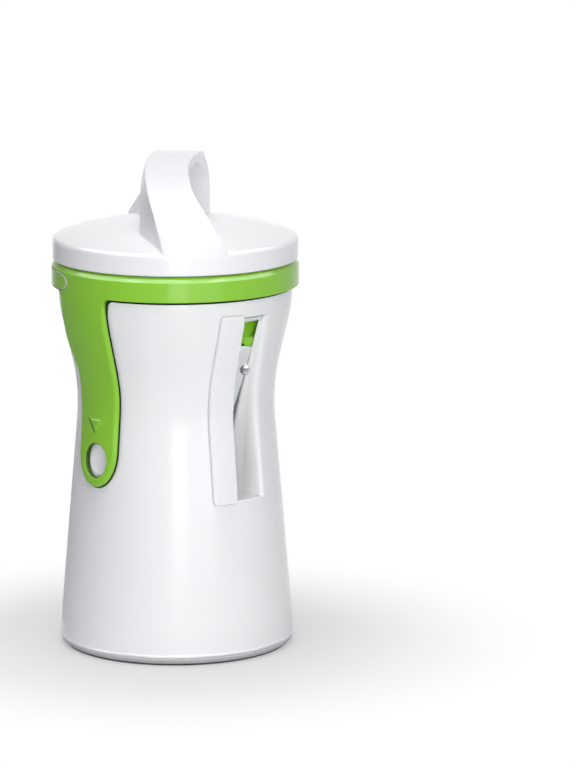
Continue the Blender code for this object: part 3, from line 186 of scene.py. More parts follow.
# Side plates
PLATE_HALF = (14.0, 3.1)
PLATE_HEIGHT = 135.5
PLATE_AZIMUTH = math.radians(120)
PLATE_DEPTH = 0.8
PLATE_GAP = 0.18                                # between the plate and its pocket's side
PLATE_MARGIN = 1.2                              # of the band's points round its pocket
POCKET_SHARES = (0, 0.3, 0.6, 0.9)              # of the way to the pocket at which points lie
PLATE_STRETCH = 2.2                             # length of its round ends over their height
PLATE_BORDER = 0.35                             # painted highlight: pale border round the plate's face
PLATE_BORDER_STEP = 0.03                        # over which the painted highlight starts
PLATE_PROUD = 0.1
PLATE_EDGE = 0.2
PLATE_POINTS = (41, 17)                         # along a side and round an end

# Release buttons, their carriers' bosses and their springs
BUTTON_HALF = (5.2, 5.8)
BUTTON_PROUD = 0.6
BUTTON_DISH = 0.75                              # depth of the fingertip's dish
BUTTON_DISH_RADIUS = 14.0
BUTTON_DISH_BLEND = 0.08                        # softens the dish's edge
BUTTON_EDGE = 0.5
BUTTON_PLAY = 0.25
BUTTON_HOLE_BULGE = 0.06                        # of the shell's edge round the hole
BUTTON_FLANGE = (1.5, 1.2)                      # how far it stands out, and its thickness
BUTTON_FLANGE_END = 7.2                         # Y at which it has to clear the wall
BUTTON_SHOULDER = 3.0                           # inset at which the flange meets the stem
BUTTON_STEM = 2.2
BUTTON_STEM_EDGE = 0.3
BUTTON_POINTS = (65, 16)                        # round it, and from its middle to its edge
CARRIER_BOSS = (2.6, 20.9, 30.5, 14.5)          # radius, inner and outer end, way from the button
SPRING_WIRE = 0.35
SPRING_RADIUS = 3.3
SPRING_TURNS = 3
SPRING_CLOSING = 1 / 3                          # how much less than the mean its pitch is at the ends
SPRING_POINTS = 145

# Cap, handle, guide ring and prongs
VIEW_TURN = math.radians(-43.3)                 # of the photograph's view, from the front towards -X
CAP_RADIUS = BAND_RADIUS - GAP
CAP_SEAT = CREST + GAP
CAP_SIDE = 7.9
CAP_SIDE_ROWS = (1.2, 3.0, 4)                   # start over the seat, end under the top, and count
CAP_SHOULDER = 2.2
CAP_EDGE = 0.4
CAP_RISE = 5.8
CAP_POWER = 3.2
CAP_BLEND = 0.8                                 # share of the radius that the shoulder runs towards
CAP_DOME_START = 0.9                            # and at which the dome's own points start
CAP_WALL = 2.3
CAP_BOSS = 4.2
CAP_RIB = 1.4
CAP_ROOF_START = 1.0                            # of the roof's own points, from boss and rib
CAP_POINTS = (40, 20)                           # along its dome and its roof
RING_RADIUS = MOUTH_RADIUS - 0.35
RING_WALL = 2.0
RING_DROP = 2.7
RING_RISE = 2.7
RING_LIP = (1.8, 1.6)                           # how far it stands in, and its thickness
RING_LOW_EDGE = 0.5
PRONG_PLATE_THICKNESS = 2.2
PRONG_PLATE_TOP = CAP_SEAT + RING_RISE - RING_LIP[1] - GAP
PRONG_COUNT = 6
PRONG_CIRCLE = 12.0
PRONG_RADIUS = 1.1
PRONG_PLAY = 0.15
PRONG_TIP = 4.0
PRONG_TIP_BEND = 1.5
PRONG_LENGTH = 18.0
PRONG_ROOT = 1.4                                # how far it reaches into the plate
PRONG_BOSS = (2.6, 2.5, 0.6)                    # radius, drop under the plate and reach into it
PRONG_BOSS_EDGE = 0.4
HANDLE_START = math.radians(-3)                 # angle over the arch of its foot, in the dome
HANDLE_SECTIONS = 61                            # from its front foot to its top
HANDLE_INSET = 0.03                             # of its outer face from the cap's side
HANDLE_BASE = CAP_SEAT + 5.6
HANDLE_RISE = 32.5
HANDLE_THICKNESS = 4.8
HANDLE_SPANS = (26.5, 22.0)                     # Y of its inner face's two edges at the foot
HANDLE_EDGE = 0.7
HANDLE_SOFT_EDGE = (3.6, 7.5)                   # inner edges' rounding at the top: side, inner face
HANDLE_POINTS = (15, 7)                         # across its outer face and round each corner
HANDLE_SHARES = (0.04, 0.25, 0.5, 0.75, 0.96)   # across its flat sides, at which points lie
OUTER_LEFT = [-3.1, -5.8, -9.1, -10.2, -8.3]    # X of each edge at even steps, from foot to top
OUTER_RIGHT = [20.5, 13.8, 7.1, 5.2, 8.3]
INNER_LEFT = [-12.1, -12.2, -12.2, -11.6, -9.4]
INNER_RIGHT = [8.0, 6.0, 4.4, 5.6, 9.4]


# Shapes

def unit(vectors):
    """Vectors divided by their own lengths."""
    return vectors / np.maximum(np.linalg.norm(vectors, axis=-1, keepdims=True), 1e-9)


def closed(loop):
    """Loop with its first point once more at its end."""
    return np.concatenate([loop, loop[:1]])


def eased(value, start, end):
    """How far a value is from start to end, as s * s * (3 - 2 * s), with s the plain share."""
    share = np.clip((value - start) / (end - start), 0, 1)
    return share * share * (3 - 2 * share)


def curve(start, corner, end, t):
    """Curve of second degree, which leaves start towards a corner and reaches end from there."""
    return start * (1 - t) ** 2 + corner * 2 * t * (1 - t) + end * t ** 2


def bent(corners, radii):
    """Line through corners, each bent to an arc of its radius.

    An arc starts and ends radius * tan(turn / 2) from its corner. Its spokes run from one end's
    to the other's: (sin((1 - s) * turn) * first + sin(s * turn) * last) / sin(turn).
    """
    corners = np.array(corners, float)
    parts = []
    for index, radius in enumerate(radii):
        corner = corners[index]
        if radius == 0:
            parts.append(corner[None])
            continue
        back = unit(corners[index - 1] - corner)
        ahead = unit(corners[(index + 1) % len(corners)] - corner)
        turn = math.pi - math.acos(back @ ahead)
        reach = radius * math.tan(turn / 2)
        centre = corner + unit(back + ahead) * radius / math.cos(turn / 2)
        steps = max(3, math.ceil(turn / (2 * math.acos(1 - ARC_SAG / radius))))
        share = np.linspace(0, 1, steps + 1)[:, None]
        first, last = corner + back * reach - centre, corner + ahead * reach - centre
        parts.append(centre + (np.sin((1 - share) * turn) * first + np.sin(share * turn) * last)
                     / math.sin(turn))
    return np.concatenate(parts)


def polar(radius, azimuth, height):
    """Points at x = radius * sin(azimuth), y = -radius * cos(azimuth) and each height."""
    return np.stack(np.broadcast_arrays(radius * np.sin(azimuth), -radius * np.cos(azimuth), height),
                    axis=-1)


def turned(profile, azimuths=AROUND):
    """Sheet of a profile of (radius, height) carried round the axis."""
    radius, height = np.asarray(profile, float).T[:, :, None]
    return polar(radius, azimuths, height)


BODY_PATH = bent([(FOOT_RADIUS, 0), FOOT_BEND[:2], WAIST_BEND[:2], NECK_BEND[:2],
                  (NECK_BEND[0], CREST)], [0, FOOT_BEND[2], WAIST_BEND[2], NECK_BEND[2], 0])


def body_radius(height):
    """Outside of the body at a height, read off its turned path."""
    return np.interp(height, BODY_PATH[:, 1], BODY_PATH[:, 0])


def cone_radius(height):
    """Inside of the feed cone: it grows in proportion to height."""
    return CONE_LOW_RADIUS + (height - CONE_LOW) * CONE_SLOPE


def on_wall(flat, lift=0.0):
    """Points that stand lift outside the body, at a flat sheet's azimuths and heights."""
    azimuth, height = flat[..., 0], flat[..., 1]
    return polar(body_radius(height) + lift, azimuth, height)


def on_front(flat, lift):
    """Points of the body's front at a flat sheet's X and height: y is -sqrt(radius^2 - x^2)."""
    x, height = flat[..., 0], flat[..., 1]
    return np.stack([x, -np.sqrt((body_radius(height) + lift) ** 2 - x ** 2), height], axis=-1)


def on_side(flat, lift, side=1):
    """Points of the body's side at a flat sheet's Y and height: x is side * sqrt(radius^2 - y^2)."""
    y, height = flat[..., 0], flat[..., 1]
    return np.stack([side * np.sqrt((body_radius(height) + lift) ** 2 - y ** 2), y, height], axis=-1)


def blend(start, end, shares):
    """Sheet of rows that go from one row of points to another by each share."""
    shares = np.asarray(shares, float)[:, None, None]
    return start[None] * (1 - shares) + end[None] * shares


def window_round(left, right, low, high, places):
    """Loop of places from -1 to 1 stretched over a window's outline."""
    return np.stack([left + (right - left) * (places[:, 0] + 1) / 2,
                     low + (high - low) * (places[:, 1] + 1) / 2], axis=1)


def patch_places(columns, rows):
    """Once round a rectangle of grid points: their places from -1 to 1, and their coordinates."""
    across = np.concatenate([columns[:-1], np.full(len(rows) - 1, columns[-1]), columns[:0:-1],
                             np.full(len(rows), columns[0])])
    along = np.concatenate([np.full(len(columns) - 1, rows[0]), rows[:-1],
                            np.full(len(columns) - 1, rows[-1]), rows[:0:-1], rows[:1]])
    places = np.stack([2 * (across - columns[0]) / (columns[-1] - columns[0]) - 1,
                       2 * (along - rows[0]) / (rows[-1] - rows[0]) - 1], axis=1)
    return places, np.stack([across, along], axis=1)


def quarter(count=6):
    """Rounding of an edge, as (how far out, how far down): sin and 1 - cos over a quarter turn."""
    angle = np.linspace(0, math.pi / 2, count + 1)
    return np.stack([np.sin(angle), 1 - np.cos(angle)], axis=1)


def rim(top, under, out, edge):
    """Edge of a plate, round its outline.

    Rows start at the top's inset outline, go out and down in a quarter round of radius edge, then
    straight down, and back in to the underside's inset outline.
    """
    down = unit(under - top)
    edge = np.broadcast_to(np.asarray(edge, float), top.shape[:1])[:, None]
    rows = [top + out * edge * a + down * edge * b for a, b in quarter()]
    return np.stack(rows + [under + out * edge, under])


def shadow_lip_rim(top, under, out, edge, reach):
    """Edge of a plate as rim gives it, with a thin dark lip at its foot that stands out by reach.

    The lip is painted shadow: a dark sheet in the joint between the plate and the surface below
    it. Returns the sheet and its mark, which is 1 on the lip.
    """
    edge, reach = edge[:, None], reach[:, None]
    up = unit(top - under)
    plain = rim(top, under, out, edge[:, 0])
    side = under + out * (edge - SHADOW_LIP_STEP)
    tip = under + out * (edge + reach)
    # the lip's rows: a thin sheet that carries painted shadow
    rows = [side + out * SHADOW_LIP_STEP + up * SHADOW_LIP_RISE, side + up * SHADOW_LIP_RISE, side + up * SHADOW_LIP_THICKNESS,
            tip + up * SHADOW_LIP_THICKNESS, tip, under]
    mark = np.concatenate([np.zeros(len(plain) - 1), np.ones(len(rows) - 1)])
    return np.concatenate([plain[:-2], rows]), mark[:, None]


def outward(loop, up):
    """Directions that lie in the surface, square to a closed loop on it: along x up."""
    points = loop[:-1]
    along = unit(unit(np.roll(points, -1, 0) - points) + unit(points - np.roll(points, 1, 0)))
    return closed(unit(np.cross(along, up[:-1])))


def tube(path, radius, count=12):
    """Round wire along a path: a circle square to it at every point, with closed ends."""
    along = unit(np.gradient(path, axis=0))
    side = unit(np.cross(along, [1.0, 0.0, 0.0]))
    lift = np.cross(along, side)
    angle = np.linspace(0, math.tau, count + 1)[None, :, None]
    rows = path[:, None] + radius * (side[:, None] * np.cos(angle) + lift[:, None] * np.sin(angle))
    ends = np.broadcast_to(path[[0, -1], None], (2, count + 1, 3))
    return np.concatenate([ends[:1], rows, ends[1:]])


def placed(sheet, matrix):
    """Sheet moved by a 4 by 4 placement in millimetres."""
    matrix = np.array(matrix)
    return sheet @ matrix[:3, :3].T + matrix[:3, 3]


def cells(sheet, left_out=()):
    """Four-sided faces between a sheet's rows and columns, without the ranges that are left out."""
    rows, columns = sheet.shape[:2]
    index = np.arange(rows * columns).reshape(rows, columns)
    faces = np.stack([index[:-1, :-1], index[:-1, 1:], index[1:, 1:], index[1:, :-1]], axis=-1)
    kept = np.ones(faces.shape[:2], bool)
    for row_range, column_range in left_out:
        kept[slice(*row_range), slice(*column_range)] = False
    return faces[kept]


def make_mesh(name, sheets):
    """Mesh of sheets: points that meet are merged, and the closed faces are turned outwards.

    A sheet may come with the ranges of cells that are left out of it and a mark, from 0 to 1, for
    each of its points, where the finish paints shade or a highlight.
    """
    points, faces, marks, count = [], [], [], 0
    for item in sheets:
        sheet, left_out, mark = item if isinstance(item, tuple) else (item, (), 0.0)
        points.append(sheet.reshape(-1, 3))
        faces.append(cells(sheet, left_out) + count)
        marks.append(np.broadcast_to(mark, sheet.shape[:2]).ravel())
        count += len(points[-1])
    mesh = bpy.data.meshes.new(name)
    mesh.from_pydata(np.concatenate(points) * MM, [], np.concatenate(faces))
    marked = mesh.attributes.new("mark", "FLOAT", "POINT")
    marked.data.foreach_set("value", np.concatenate(marks).astype(np.float32))
    return smoothed(mesh)


def smoothed(mesh):
    """Mesh with its meeting points merged, its faces turned outwards and smooth shading."""
    bm = bmesh.new()
    bm.from_mesh(mesh)
    bmesh.ops.remove_doubles(bm, verts=bm.verts, dist=MERGE * MM)
    bmesh.ops.dissolve_degenerate(bm, edges=bm.edges, dist=MERGE * MM / 10)
    bmesh.ops.recalc_face_normals(bm, faces=bm.faces)
    bm.to_mesh(mesh)
    bm.free()
    mesh.shade_smooth()
    return mesh


def piece(name, mesh, finish, slot, body, *nodes):
    """Piece of the object that rides on a body and stands for the CAD nodes named."""
    thing = bpy.data.objects.new(name, mesh)
    bpy.context.scene.collection.objects.link(thing)
    mesh.materials.clear()
    mesh.materials.append(finish)
    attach(thing, body)
    if nodes:
        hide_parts(*nodes)
    return thing


def sheet_piece(name, sheets, *settings):
    """Piece made of sheets, with the settings of a piece."""
    return piece(name, make_mesh(name, sheets), *settings)


def refined(solid, finish, slot, body, edge=0.12):
    """Copy of a CAD node with merged points, smooth faces and slightly rounded edges."""
    mesh = smoothed(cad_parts[solid].data.copy())
    thing = piece("fine_" + solid, mesh, finish, slot, body, solid)
    rounding = thing.modifiers.new("edge", "BEVEL")
    rounding.width = edge * MM
    rounding.segments = 2
    rounding.limit_method = "ANGLE"
    rounding.angle_limit = math.radians(SHARP_ANGLE)
    rounding.use_clamp_overlap = True
    return thing


# Body shell

def scoop_side(height, share):
    """X and Y of the exit duct's right side at each height, at one share of the way in.

    It runs straight from the window's right edge to the blade, and bows out by sin(pi * share).
    """
    shell = body_radius(height)
    cone = cone_radius(height) + CONE_WALL
    share = share * np.maximum(1 - BLADE_ROOM / (shell - cone), SCOOP_LEAST)
    inner_y = -np.sqrt(cone ** 2 - SCOOP_INNER ** 2) - GAP
    outer_y = -np.sqrt(shell ** 2 - WINDOW[1] ** 2)
    bow = SCOOP_BOW * np.sin(math.pi * share)
    return (WINDOW[1] + (SCOOP_INNER - WINDOW[1]) * share + bow * (inner_y - outer_y),
            outer_y + (inner_y - outer_y) * share + bow * (WINDOW[1] - SCOOP_INNER))


def scoop_bend(height, t):
    """X and radius on the bend from the body's surface into the duct's right side.

    The bend is a curve of second degree. It starts along the body's surface and ends along the
    duct's side, and its corner is where the two would meet.
    """
    start_y = -np.sqrt(body_radius(height) ** 2 - SCOOP_START ** 2)
    corner_y = start_y - (SCOOP_START - WINDOW[1]) * SCOOP_START / -start_y
    end_x, end_y = scoop_side(height, SCOOP_BEND)
    x = curve(SCOOP_START, WINDOW[1], end_x, t)
    return x, np.hypot(x, curve(start_y, corner_y, end_y, t))


def window_ring(places, step):
    """Loop of the window's edge, from the body's surface at step 0 to inside the wall at step 1.

    The left, lower and upper sides are a quarter round and then straight. The right side is the
    scoop's bend. Between left and right, X changes in proportion and the radius by the sixth
    power, so that the bend's depth is only taken up near the right side.
    """
    left, _, low, high = WINDOW
    turn = min(step / WINDOW_TURN, 1) * math.pi / 2
    edge = WINDOW_EDGE * (1 - math.sin(turn))
    height = low - edge + (high - low + 2 * edge) * (places[:, 1] + 1) / 2
    across = (places[:, 0] + 1) / 2
    right_x, right_radius = scoop_bend(height, step)
    depth = (WINDOW_EDGE * (1 - math.cos(turn))
             + (WALL - WINDOW_EDGE) * max(step - WINDOW_TURN, 0) / (1 - WINDOW_TURN))
    left_radius = body_radius(height) - depth
    x = left - edge + (right_x - left + edge) * across
    radius = left_radius + (right_radius - left_radius) * across ** 6
    return np.stack([x, -np.sqrt(radius ** 2 - x ** 2), height], axis=1)


def duct_ring(places, share, depth, sides, grow=0.0):
    """Loop of the exit duct at one depth, between a left side, a lower and an upper one.

    The right side follows the scoop at its share of the way in, moved out by grow. The left side
    lies at a depth that is 1 at the wall's inside and 2 over the cone. Between them both X and the
    distance from the axis change in proportion.
    """
    left, low, high = sides
    across = (places[:, 0] + 1) / 2
    height = low + (high - low) * (places[:, 1] + 1) / 2
    shell = body_radius(height)
    cone = cone_radius(height) + CONE_WALL
    right_x, right_y = scoop_side(height, share)
    right_radius = np.hypot(right_x, right_y)
    left_radius = np.where(depth <= 1, shell - WALL * depth,
                           shell - WALL + (cone + BLADE_ROOM - shell + WALL) * (depth - 1))
    x = left + (right_x + grow - left) * across
    radius = left_radius + (right_radius - left_radius) * across
    return np.stack([x, -np.sqrt(radius ** 2 - x ** 2), height], axis=1)


def unrolled(loop, wall=0.0):
    """Loop of X and height at the body's front as azimuth and height: arcsin(x / radius)."""
    return np.stack([np.arcsin(loop[:, 0] / (body_radius(loop[:, 1]) - wall)), loop[:, 1]], axis=1)


def window_liner(window, outer_rows, inner_rows):
    """Shell's outside round the window, the window's edge with the duct, and the shell's inside."""
    rows, columns = (slice(first, last + 1) for first, last in window)
    places, outer = patch_places(AROUND[columns], outer_rows[rows])
    _, inner = patch_places(AROUND[columns], inner_rows[rows])
    left, right, low, high = WINDOW
    grown = window_round(left - WINDOW_EDGE, SCOOP_START, low - WINDOW_EDGE, high + WINDOW_EDGE, places)
    outside = on_wall(blend(outer, unrolled(grown), WINDOW_SHARES[0]))
    liner = [window_ring(places, step) for step in np.linspace(0, 1, WINDOW_STEPS)]
    liner.append(duct_ring(places, DUCT_START, 1.0, (left, low, high - DUCT_CEILING)))
    liner += [duct_ring(places, share, depth, (DUCT_LEFT, low, high - DUCT_CEILING))
              for share, depth in DUCT_RINGS]
    back = (DUCT_LEFT - DUCT_WALL, low - DUCT_WALL, high - DUCT_ROOF)
    liner += [duct_ring(places, share, depth, back, DUCT_WALL) for share, depth in DUCT_OUTER_RINGS]
    hole = unrolled(window_round(back[0], right + DUCT_WALL, *back[1:], places), WALL)
    liner.append(on_wall(hole, -WALL))
    return [outside, np.stack(liner), on_wall(blend(hole, inner, WINDOW_SHARES[1]), -WALL)]


def button_hole(side, hole, outer_rows):
    """Shell's outside round a button's hole, the hole's rounded edge, and the shell's inside.

    The hole is an oval: y is a * cos(angle), and height is the middle + b * sin(angle).
    """
    rows, columns = (slice(first, last + 1) for first, last in hole)
    places, outer = patch_places(AROUND[columns], outer_rows[rows])
    angle = np.arctan2(places[:, 1], places[:, 0])
    half = np.array(BUTTON_HALF) + BUTTON_PLAY
    ovals = []
    for grow in (SOFT, 0.0):
        y, height = np.cos(angle) * (half[0] + grow), HOLE_HEIGHT + np.sin(angle) * (half[1] + grow)
        azimuth = side * math.pi / 2 + np.arcsin(y / body_radius(height))
        ovals.append(np.stack([azimuth, height], axis=1))
    outside = on_wall(blend(outer, ovals[0], BUTTON_SHARES[0]))
    inside = on_wall(blend(ovals[1], outer, BUTTON_SHARES[1]), -WALL)
    middle = 0.5 * (outside[-1] + on_wall(ovals[1])) + [side * BUTTON_HOLE_BULGE, 0, 0]
    edge = np.stack([outside[-1], middle, on_wall(ovals[1], -SOFT), inside[0]])
    return [outside, edge, inside]


def carrier_bosses(side):
    """Two round bosses inside the wall, which a button's carrier is screwed to."""
    radius, inner, outer, away = CARRIER_BOSS
    boss = turned(bent([(0, inner), (radius, inner), (radius, outer), (0, outer)], [0, SOFT, 0, 0]),
                  FINE_AROUND)
    lying = Matrix.Rotation(side * math.pi / 2, 4, "Y")
    return [placed(boss, Matrix.Translation((0, end * away, HOLE_HEIGHT)) @ lying) for end in (-1, 1)]


def shell_rows():
    """Heights of the shell's rows of points outside and inside, which lie closer at its openings."""
    starts = (FOOT_LIFT + FOOT_EDGE, *STEP_HEIGHTS[:-1])
    rows = [np.linspace(low, high, count, endpoint=False)
            for low, high, count in zip(starts, STEP_HEIGHTS, STEP_ROWS)]
    neck = np.linspace(STEP_HEIGHTS[-1], NECK_TOP - NECK_EDGE - TINY, NECK_ROWS)
    foot = np.linspace(FOOT_FLANGE_TOP + WALL, STEP_HEIGHTS[0], STEP_ROWS[0], endpoint=False)
    ledge = np.linspace(STEP_HEIGHTS[-2], LEDGE_LOW, STEP_ROWS[-1] + 1)
    return np.concatenate([*rows, neck]), np.concatenate([foot, *rows[1:-1], ledge])


def columns_between(first, last):
    """Range of AROUND's points between two azimuths in degrees."""
    step = 360 / (len(AROUND) - 1)
    return round((first + 180) / step), round((last + 180) / step)


def shell_ends(outer, inner):
    """Shell's foot, with the rubber ring's groove, and its upper edge with the ledge inside it.

    The foot's outer rounding darkens downwards with painted shade, in proportion to height.
    """
    flange = FOOT_RADIUS - FOOT_FLANGE
    groove_in, groove_out, groove_top = FOOT_GROOVE
    foot = bent([inner[0], (flange, FOOT_FLANGE_TOP), (flange, FOOT_LIFT), (groove_in, FOOT_LIFT),
                 (groove_in, groove_top), (groove_out, groove_top), (groove_out, FOOT_LIFT),
                 (FOOT_RADIUS, FOOT_LIFT), outer[0]],
                [0, SOFT, SOFT, CRISP, 0, 0, FOOT_GROOVE_EDGE, FOOT_EDGE * NEARLY, 0])
    # painted shade on the foot's outer rounding, darker towards its foot
    painted_shade_share = np.clip((FOOT_LIFT + FOOT_EDGE - foot[:, 1]) / FOOT_PAINTED_SHADE, 0, 1)
    painted_shade_share = np.where(foot[:, 0] > FOOT_RADIUS - FOOT_EDGE - TINY, painted_shade_share, 0)
    bore = cone_radius(LEDGE_TOP) + CONE_WALL + GAP
    top = bent([inner[-1], (bore, LEDGE_LOW), (bore, LEDGE_TOP),
                (body_radius(LEDGE_TOP) - WALL, LEDGE_TOP), (body_radius(NECK_TOP) - WALL, NECK_TOP),
                (body_radius(NECK_TOP), NECK_TOP), outer[-1]],
               [0, CRISP, CRISP, 0, CRISP, NECK_EDGE, 0])
    return [(turned(foot), (), painted_shade_share[:, None]), turned(top)]


def make_body_shell(finish):
    """Turned wall with a window and two button holes, and the exit duct behind the window."""
    outer_rows, inner_rows = shell_rows()
    window = ((STEP_ROWS[0], sum(STEP_ROWS)), columns_between(*WINDOW_SPAN))
    button_rows = (sum(STEP_ROWS[:2]), sum(STEP_ROWS[:3]))
    holes = {side: (button_rows, columns_between(90 * side - BUTTON_SPAN, 90 * side + BUTTON_SPAN))
             for side in (-1, 1)}
    left_out = [window, *holes.values()]
    outer = np.stack([body_radius(outer_rows), outer_rows], axis=1)
    inner = np.stack([body_radius(inner_rows) - WALL, inner_rows], axis=1)
    sheets = [(turned(profile), left_out, 0.0) for profile in (outer, inner)]
    sheets += shell_ends(outer, inner)
    sheets += window_liner(window, outer_rows, inner_rows)
    for side, hole in holes.items():
        sheets += button_hole(side, hole, outer_rows)
        sheets += carrier_bosses(side)
    sheet_piece("shell", sheets, finish, "white_plastic", "body", "body_shell")


def make_exit_guard(finish):
    """Curved strip that lies on the body beside the window, with rounded edges and corners.

    Each ring of points stands off from an inset rectangle by its own distance, at its own rise: a
    quarter round along the top's edge, and a small slope along the underside's.
    """
    left, right, low, high = GUARD
    corner, edge = GUARD_CORNER, GUARD_EDGE

    def place(flat, rise):
        """Points over the body's front, from X and height off the strip's middle."""
        return on_front(flat + [(left + right) / 2, (low + high) / 2], GAP + rise)

    x = np.linspace(-1, 1, GUARD_POINTS[0]) * ((right - left) / 2 - corner)
    z = np.linspace(-1, 1, GUARD_POINTS[1]) * ((high - low) / 2 - corner)
    feet, out = corner_fan(x, z)
    steps = [(0.0, GUARD_THICKNESS), (0.5 * (corner - edge), GUARD_THICKNESS)]
    steps += [(corner - edge + edge * a, GUARD_THICKNESS - edge * b) for a, b in quarter()]
    steps += [(corner, GUARD_UNDER_EDGE), (corner - GUARD_UNDER_EDGE, 0.0), (0.0, 0.0)]
    rings = np.stack([place(feet + out * distance, rise) for distance, rise in steps])
    flat = np.stack(np.meshgrid(x, z), axis=-1)
    sheets = [rings, place(flat, GUARD_THICKNESS), place(flat, 0.0)]
    sheet_piece("guard", sheets, finish, "white_plastic", "body", "exit_guard")


def corner_fan(x, z):
    """Once round a rectangle of grid points, each corner repeated over a quarter turn.

    Returns the points and the directions that point out from them, as cos and sin of an angle.
    """
    turn = np.linspace(0, math.pi / 2, GUARD_CORNER_STEPS + 1)
    feet, out = [], []
    sides = ((x, np.full(len(x), z[0]), -math.pi / 2), (np.full(len(z), x[-1]), z, 0.0),
             (x[::-1], np.full(len(x), z[-1]), math.pi / 2), (np.full(len(z), x[0]), z[::-1], math.pi))
    for across, along, facing in sides:
        line = np.stack([across, along], axis=1)
        feet += [line, np.repeat(line[-1:], len(turn), 0)]
        angles = np.concatenate([np.full(len(line), facing), facing + turn])
        out.append(np.stack([np.cos(angles), np.sin(angles)], axis=1))
    return closed(np.concatenate(feet)), closed(np.concatenate(out))


# Collar frame

def arm_outline():
    """Heights, front and back Y, and edge radius, of an arm's inset outline over its round end.

    The back side widens towards the band and the front side narrows towards the end, both eased.
    At the band each side turns outwards in a quarter round, and the edge thins to the band's.
    """
    corner = ARM_CORNER + BAND_EDGE
    top = BAND_LOW + BAND_EDGE
    turn = np.linspace(0, math.pi / 2, ARM_CORNER_POINTS)
    straight = np.linspace(ARM_SPLIT, top - corner, ARM_ROWS)[:-1]
    heights = np.concatenate([straight, top - corner + corner * np.sin(turn)])
    flare = np.concatenate([np.zeros(len(straight)), corner * (1 - np.cos(turn))])
    edge = ARM_EDGE + (BAND_EDGE - ARM_EDGE) * eased(heights, top - ARM_EDGE_FADE * corner, top)
    front = ARM_FRONT + ARM_NARROWING * eased(heights, *ARM_NARROW) + edge - flare
    back = ARM_BACK + ARM_WIDENING * eased(heights, *ARM_WIDEN) - edge + flare
    return heights, front, back, edge


def arm_flats():
    """Flat shapes of an arm in (y, height): strip, round end, hole, outline, and outline's edge.

    The end of the arm is half an ellipse. Each point of the hole's oval lies at the same angle
    from the hole's middle as its point on the outline.
    """
    heights, front, back, edge = arm_outline()
    strip_y = front[:, None] + (back - front)[:, None] * ARM_COLUMNS
    strip = np.stack(np.broadcast_arrays(strip_y, heights[:, None]), axis=-1)

    turn = np.linspace(0, math.pi, ARM_END_POINTS)
    middle, half = (front[0] + back[0]) / 2, (back[0] - front[0]) / 2
    drop = np.linspace(ARM_SPLIT, ARM_WAIST, ARM_SIDE_ROWS)[:-1]
    end_y = [strip_y[0, :-1], np.full(len(drop), back[0]), middle + half * np.cos(turn),
             np.full(len(drop), front[0])]
    end_z = [strip[0, :-1, 1], drop, ARM_WAIST - (ARM_END_LENGTH - ARM_EDGE) * np.sin(turn), drop[::-1]]
    end = np.stack([np.concatenate(end_y), np.concatenate(end_z)], axis=1)
    angle = np.arctan2(end[:, 1] - HOLE_HEIGHT, end[:, 0])
    hole = np.stack([(HOLE[0] + HOLE_EDGE) * np.cos(angle),
                     HOLE_HEIGHT + (HOLE[1] + HOLE_EDGE) * np.sin(angle)], axis=1)

    lower = end[len(ARM_COLUMNS) - 1:][::-1]
    front_side, back_side = (np.stack([y, heights], axis=1) for y in (front, back))
    outline = np.concatenate([front_side[:0:-1], lower, back_side[1:]])
    edges = np.concatenate([edge[:0:-1], np.full(len(lower), ARM_EDGE), edge[1:]])
    return strip, blend(end, hole, HOLE_SHARES), hole, outline, edges


def arm_sheets(side, strip, end, hole):
    """Outside and underside of one arm, and the rounded edge of its hole, with painted shade at its
    foot.
    """
    sheets = [on_side(flat, lift, side) for lift in (SKIN_LIFT, GAP) for flat in (strip, end)]
    towards = np.stack([np.zeros(len(hole)), -hole[:, 0], HOLE_HEIGHT - hole[:, 1]], axis=1)
    edge = rim(on_side(hole, SKIN_LIFT, side), on_side(hole, GAP, side), unit(towards), HOLE_EDGE)
    # painted shade on the hole's wall and underside
    shade = np.array([0] * (len(edge) - 3) + [HOLE_PAINTED_SHADE] * 3)[:, None]
    return sheets + [(edge, (), shade)]


def band_profile():
    """Collar's profile: band, bevel, crest, mouth, funnel, lip, and the underside over the neck.

    Returns it with the heights of the band's rows of points, which come first.
    """
    low = BAND_LOW + BAND_EDGE
    lip, skirt, neck = cone_radius(COLLAR_LIP), NECK_BEND[0] - WALL - GAP, NECK_BEND[0] + GAP
    profile = bent([(BAND_RADIUS, low), (BAND_RADIUS, BEVEL_LOW), (BAND_RADIUS - BEVEL_WIDTH, CREST),
                    (MOUTH_RADIUS, CREST), (MOUTH_RADIUS, MOUTH_LOW),
                    (cone_radius(FUNNEL_START), FUNNEL_START), (lip, COLLAR_LIP),
                    (lip + COLLAR_WALL, COLLAR_LIP), (skirt, NECK_BEND[1] + SKIRT_RISE),
                    (skirt, NECK_TOP + GAP), (neck, NECK_TOP + GAP), (neck, low)],
                   [0, BAND_ROUND, CREST_ROUND, CREST_ROUND, MOUTH_ROUND, MOUTH_ROUND, SOFT,
                    0, 0, 0, 0, 0])
    rows = np.linspace(low, profile[1, 1], BAND_ROWS)
    band = np.stack([np.full(BAND_ROWS, BAND_RADIUS), rows], axis=1)
    return np.concatenate([band[:-1], profile[1:]]), rows


